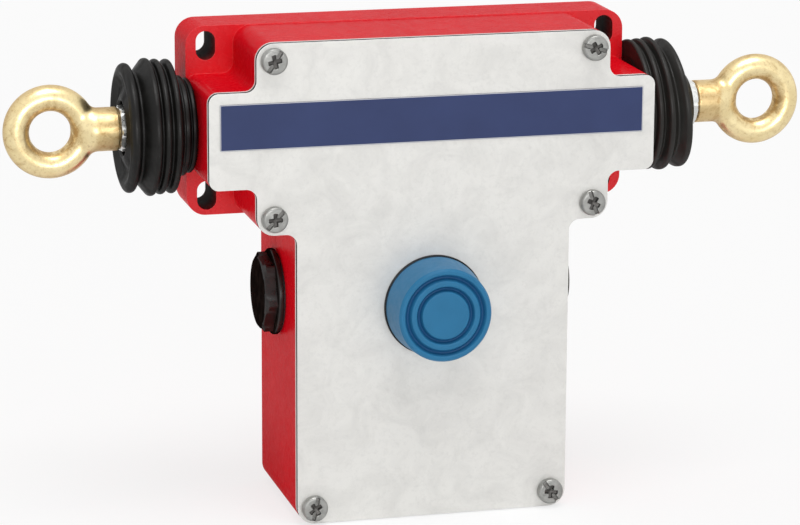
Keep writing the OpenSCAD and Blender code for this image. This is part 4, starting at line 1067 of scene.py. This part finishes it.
class SWITCH_OT_button(SwitchOperator):
    """Builds the blue reset boot"""

    bl_idname = "rope_switch.button"
    bl_label = "Reset Button"

    def execute(self, context):
        sizes = self.sizes.button
        face = COVER_FACE - BUTTON_FACE
        skin = turned(self.outline(face, sizes), (0.0, COVER_FACE, BUTTON_Z), (0, -1, 0), 192)
        cap = finished("reset_cap", [skin], button_blue_with_painted_shade(sizes), 60)
        keep_rest(cap)
        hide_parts("reset_boot")
        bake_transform(cap)
        return {"FINISHED"}

    def outline(self, face, sizes):
        """Outline from the foot, painted near black as shade, up the tapered side and over the two grooves to the
        middle.
        """
        rim, base, foot, deep = sizes.face_radius, sizes.base_radius, sizes.foot, sizes.groove_depth
        flange = base + 0.45 * MM
        outline = [
            (base - 1.5 * MM, 0.1 * MM), (flange, 0.1 * MM, 0.1 * MM), (flange, foot - 0.2 * MM, 0.2 * MM),
            (base - 0.5 * MM, foot, 0.1 * MM), (base, foot + 0.5 * MM, 0.2 * MM),
            (base, foot + 1.6 * MM, 0.8 * MM), (rim + 0.05 * MM, face - 0.8 * MM, 0.4 * MM),
            (rim - 0.55 * MM, face, 0.35 * MM),
        ]
        for outer, inner in GROOVES:
            middle = (outer + inner) / 2
            outline += [
                (outer, face - 0.02 * MM, 0.35 * MM), (middle + 0.35 * MM, face - deep, 0.55 * MM),
                (middle - 0.35 * MM, face - deep, 0.55 * MM), (inner, face - 0.06 * MM, 0.35 * MM),
            ]
        outline += [(2.0 * MM, face - 0.1 * MM, 1.0 * MM), (0.0, face - 0.16 * MM)]
        return softened(outline, 6)


class SWITCH_OT_plugs(SwitchOperator):
    """Builds the hexagon blanking plugs of the cable entries"""

    bl_idname = "rope_switch.plugs"
    bl_label = "Blanking Plugs"

    thread_radius, thread_length, head_length = 8.8 * MM, 8 * MM, 3.9 * MM

    def execute(self, context):
        sizes = self.sizes.plugs
        plastic = plug_plastic(sizes.plastic, sizes.edge)
        for name, side in SIDES:
            low, high = corners("cable_plug_" + name)
            outer = from_middle("cable_plug_" + name)[1]
            middle, axis = (low + high) / 2 * (0, 1, 1), (side, 0, 0)
            flange, foot_at = (high[2] - low[2]) / 2, outer - self.head_length
            head = hexagon(middle, axis, sizes.flats, foot_at - 0.3 * MM, outer, 0.0, -sizes.turn, 0.4 * MM)
            outline = softened([
                (0.0, foot_at - self.thread_length), (self.thread_radius, foot_at - self.thread_length),
                (self.thread_radius, foot_at - 1.6 * MM), (flange, foot_at - 1.6 * MM, 0.3 * MM),
                (flange, foot_at - 0.1 * MM, 0.5 * MM), (flange - 1.6 * MM, foot_at + 0.15 * MM, 0.3 * MM),
                (0.0, foot_at + 0.15 * MM),
            ])
            foot = turned(outline, middle, axis, 160)
            plug = finished("blanking_plug_" + name, [head, foot], plastic, 28)
            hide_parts("cable_plug_" + name)
            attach(plug, "housing")
        return {"FINISHED"}


class SWITCH_OT_springs(SwitchOperator):
    """Builds the springs"""

    bl_idname = "rope_switch.springs"
    bl_label = "Springs"

    # Radius of the coil, radius of the wire and number of turns
    centring = 6.6 * MM, 0.9 * MM, 9
    reset = 5.6 * MM, 0.6 * MM, 5

    def execute(self, context):
        steel = metal("spring wire", (0.42, 0.43, 0.44), 0.3, 1200.0, 0.1)
        for name, side in SIDES:
            near, far = from_middle("centring_spring_" + name)
            x, y, z = self.coil(near, far, *self.centring)
            path = np.stack([side * z, SHAFT_Y + x, y], -1)
            coil = finished("centring_coil_" + name, [tube(path, self.centring[1])], steel)
            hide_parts("centring_spring_" + name)
            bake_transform(coil)
        low, high = corners("reset_spring")
        x, y, z = self.coil(-high[1], -low[1], *self.reset)
        path = np.stack([x, -z, BUTTON_Z + y], -1)
        coil = finished("reset_coil", [tube(path, self.reset[1])], steel)
        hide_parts("reset_spring")
        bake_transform(coil)
        self.latch_spring(steel)
        return {"FINISHED"}

    def latch_spring(self, steel):
        """Copy of the latch's leg spring."""
        spring = copied("latch_spring", "latch_leg_spring", [steel], 40, 0.1)
        low, high = corners("latch_spring")
        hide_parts("latch_spring")
        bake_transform(spring)

    def coil(self, near, far, radius, wire, turns):
        """Helix: (R cos a, R sin a, rise), the rise easing in and out over one turn at each end."""
        s = np.linspace(0.0, 1.0, turns * 28 + 1)
        e = 1.0 / turns
        ease_out = 1 - e - (1 - s) ** 2 / (2 * e)
        rise = np.where(s < e, s**2 / (2 * e), np.where(s > 1 - e, ease_out, s - e / 2)) / (1 - e)
        a = 2 * np.pi * turns * s
        return radius * np.cos(a), radius * np.sin(a), near + wire + (far - near - 2 * wire) * rise


class SWITCH_OT_inner_parts(SwitchOperator):
    """Gives the mechanism, contacts and small fasteners their finishes"""

    bl_idname = "rope_switch.inner_parts"
    bl_label = "Inner Parts"

    def execute(self, context):
        finishes = (
            (metal("ground steel", (0.50, 0.50, 0.51), 0.22, 1400.0, 0.08),
             ("pull_shaft", "drive_pin", "rocker_pivot", "latch_pin", "spring_seat_left",
              "spring_seat_right")),
            (metal("hardened steel", (0.20, 0.205, 0.215), 0.36), ("trip_collar", "latch_lever")),
            (metal("sintered bronze", (0.50, 0.33, 0.15), 0.45, 1600.0, 0.2), ("bush_left", "bush_right")),
            (metal("zinc sheet", (0.52, 0.53, 0.53), 0.38, 500.0, 0.2), ("mechanism_bracket",)),
            (metal("brass sheet", (0.66, 0.48, 0.20), 0.32), ("rocker", "earth_screw")),
            (metal("small zinc", (0.58, 0.59, 0.58), 0.32),
             ("washer_left", "washer_right", "bracket_screws", "terminal_screws", "block_screws",
              "earth_washer")),
            (metal("clip steel", (0.16, 0.165, 0.17), 0.3), ("rocker_clip", "latch_clip", "plunger_clip")),
            (metal("contact copper", (0.64, 0.32, 0.17), 0.28),
             ("contact_bridges", "fixed_contacts", "terminal_clamps")),
            (metal("barrel alloy", (0.68, 0.68, 0.66), 0.3, 900.0, 0.06), ("reset_barrel", "reset_nut")),
            (moulded("seal rubber", (0.022, 0.022, 0.022), 0.6),
             ("plug_seal_left", "plug_seal_right", "reset_seal")),
            (moulded("plunger plastic", (0.72, 0.72, 0.69), 0.4), ("reset_plunger",)),
            (moulded("block plastic", (0.030, 0.028, 0.028), 0.45), ("contact_block",)),
            (moulded("lid plastic", (0.26, 0.27, 0.28), 0.45), ("contact_lid",)),
            (moulded("carriage plastic", (0.62, 0.56, 0.40), 0.45), ("contact_carriage",)),
        )
        for material, nodes in finishes:
            for node in nodes:
                materials = frame["nodes"][node].data.materials
                materials.clear()
                materials.append(material)
        return {"FINISHED"}


class SWITCH_OT_stage(SwitchOperator):
    """Builds the camera, the lamps, the pale surroundings and the floor"""

    bl_idname = "rope_switch.stage"
    bl_label = "Stage"

    target = 0.0, -0.030, 0.0188
    floor_reach, floor_white = 6.0, 0.75

    def execute(self, context):
        sizes = self.sizes.stage
        scene = context.scene
        scene.view_settings.view_transform = "Standard"
        scene.camera = self.camera(sizes)
        scene.world = self.surroundings(sizes.sky)
        self.lamp("front_lamp", direction=(-0.04, -1.0, 0.04), power=sizes.key, spread=26)
        self.lamp("upper_lamp", direction=(0.04, -0.30, 1.0), power=sizes.top, spread=34)
        self.floor(sizes)
        return {"FINISHED"}

    def camera(self, sizes):
        """Camera on the left of the switch and above it, turned by yaw, pitch and roll."""
        y, p, r = sizes.yaw, sizes.pitch, sizes.roll
        forward = Vector((math.sin(y) * math.cos(p), math.cos(y) * math.cos(p), -math.sin(p)))
        right = forward.cross(Vector((0, 0, 1))).normalized()
        up = right.cross(forward)
        right, up = math.cos(r) * right + math.sin(r) * up, math.cos(r) * up - math.sin(r) * right
        place = Vector(self.target) - sizes.distance * forward
        place = place - sizes.shift_left * right - sizes.shift_down * up
        data = bpy.data.cameras.new("view")
        data.lens, data.sensor_width = sizes.lens * 1000, 36.0
        data.clip_start, data.clip_end = 0.05, 50.0
        camera = linked("view", data)
        camera.matrix_world = Matrix([*zip(right, up, -forward, place), (0, 0, 0, 1)])
        return camera

    def surroundings(self, sky):
        """World: even light of the sky's strength, but plain white where the camera or a mirror sees it."""
        world = bpy.data.worlds.new("surroundings")
        world.use_nodes = True
        tree = world.node_tree
        tree.nodes.clear()
        kinds = "OutputWorld", "MixShader", "Background", "Background", "LightPath", "Math", "Math"
        out, mix, light, seen, rays, first, second = (tree.nodes.new("ShaderNode" + kind) for kind in kinds)
        light.inputs["Strength"].default_value = sky
        for background in (light, seen):
            background.inputs["Color"].default_value = (1, 1, 1, 1)
        first.operation = second.operation = "MAXIMUM"
        for source, target in (
            (rays.outputs["Is Camera Ray"], first.inputs[0]),
            (rays.outputs["Is Glossy Ray"], first.inputs[1]),
            (first.outputs[0], second.inputs[0]),
            (rays.outputs["Is Transmission Ray"], second.inputs[1]),
            (second.outputs[0], mix.inputs["Fac"]),
            (light.outputs[0], mix.inputs[1]),
            (seen.outputs[0], mix.inputs[2]),
            (mix.outputs[0], out.inputs["Surface"]),
        ):
            tree.links.new(source, target)
        return world

    def lamp(self, name, direction, power, spread):
        """Soft sun from a direction, its light spread over an angle in degrees."""
        data = bpy.data.lights.new(name, "SUN")
        data.energy, data.angle = power, math.radians(spread)
        lamp = linked(name, data)
        lamp.rotation_mode = "QUATERNION"
        lamp.rotation_quaternion = Vector(direction).to_track_quat("Z", "Y")

    def floor(self, sizes):
        """Pale floor under the body; the camera sees it mostly plain white, so that its shadow stays soft."""
        reach, low = self.floor_reach, BODY_BOTTOM - 0.3 * MM
        corner = [(-reach, -reach, low), (reach, -reach, low), (reach, reach, low), (-reach, reach, low)]
        mesh = bpy.data.meshes.new("floor")
        mesh.from_pydata(corner, [], [(0, 1, 2, 3)])
        made = Finish("floor paper", sizes.floor, 0.9)
        made.feed("Specular IOR Level", 0.1)
        rays = made.add("ShaderNodeLightPath").outputs["Is Camera Ray"]
        glow = made.add("ShaderNodeEmission", {"Strength": 1.0}).outputs[0]
        white = made.maths("MULTIPLY", rays, self.floor_white)
        mix = made.add("ShaderNodeMixShader", {"Fac": white, 1: made.shader.outputs[0], 2: glow})
        made.fill(made.tree.nodes["Material Output"].inputs["Surface"], mix.outputs[0])
        mesh.materials.append(made.material)
        return linked("floor", mesh)


# ---------------------------------------------------------------- panel


OPERATORS = (
    SWITCH_OT_casting, SWITCH_OT_cover, SWITCH_OT_screws, SWITCH_OT_boots, SWITCH_OT_eyes, SWITCH_OT_button,
    SWITCH_OT_plugs, SWITCH_OT_springs, SWITCH_OT_inner_parts, SWITCH_OT_stage,
)
SETTINGS = (
    SwitchCastingSettings, SwitchScrewSettings, SwitchBootSettings, SwitchEyeSettings, SwitchButtonSettings,
    SwitchPlugSettings, SwitchStageSettings, RopeSwitchSettings,
)


class SWITCH_PT_build(bpy.types.Panel):
    """Lists the switch's operators and settings"""

    bl_label = "Rope Switch"
    bl_idname = "SWITCH_PT_build"
    bl_space_type = "VIEW_3D"
    bl_region_type = "UI"
    bl_category = "Rope Switch"

    def draw(self, context):
        for operator in OPERATORS:
            self.layout.operator(operator.bl_idname)
        for title in ("casting", "screws", "boots", "eyes", "button", "plugs", "stage"):
            box = self.layout.box()
            box.label(text=title.title())
            values = getattr(context.scene.rope_switch, title)
            for name in values.bl_rna.properties.keys():
                if name not in {"rna_type", "name"}:
                    box.prop(values, name)


def register():
    """Registers the settings, operators and panel."""
    for item in (*SETTINGS, *OPERATORS, SWITCH_PT_build):
        bpy.utils.register_class(item)
    bpy.types.Scene.rope_switch = group(RopeSwitchSettings, "Rope switch", "Sizes and colours of the switch")


def unregister():
    """Removes what register added."""
    del bpy.types.Scene.rope_switch
    for item in reversed((*SETTINGS, *OPERATORS, SWITCH_PT_build)):
        bpy.utils.unregister_class(item)


def main():
    """Builds every piece and the stage."""
    register()
    for operator in OPERATORS:
        family, name = operator.bl_idname.split(".")
        getattr(getattr(bpy.ops, family), name)()
    bpy.context.view_layer.update()


if __name__ == "__main__":
    main()
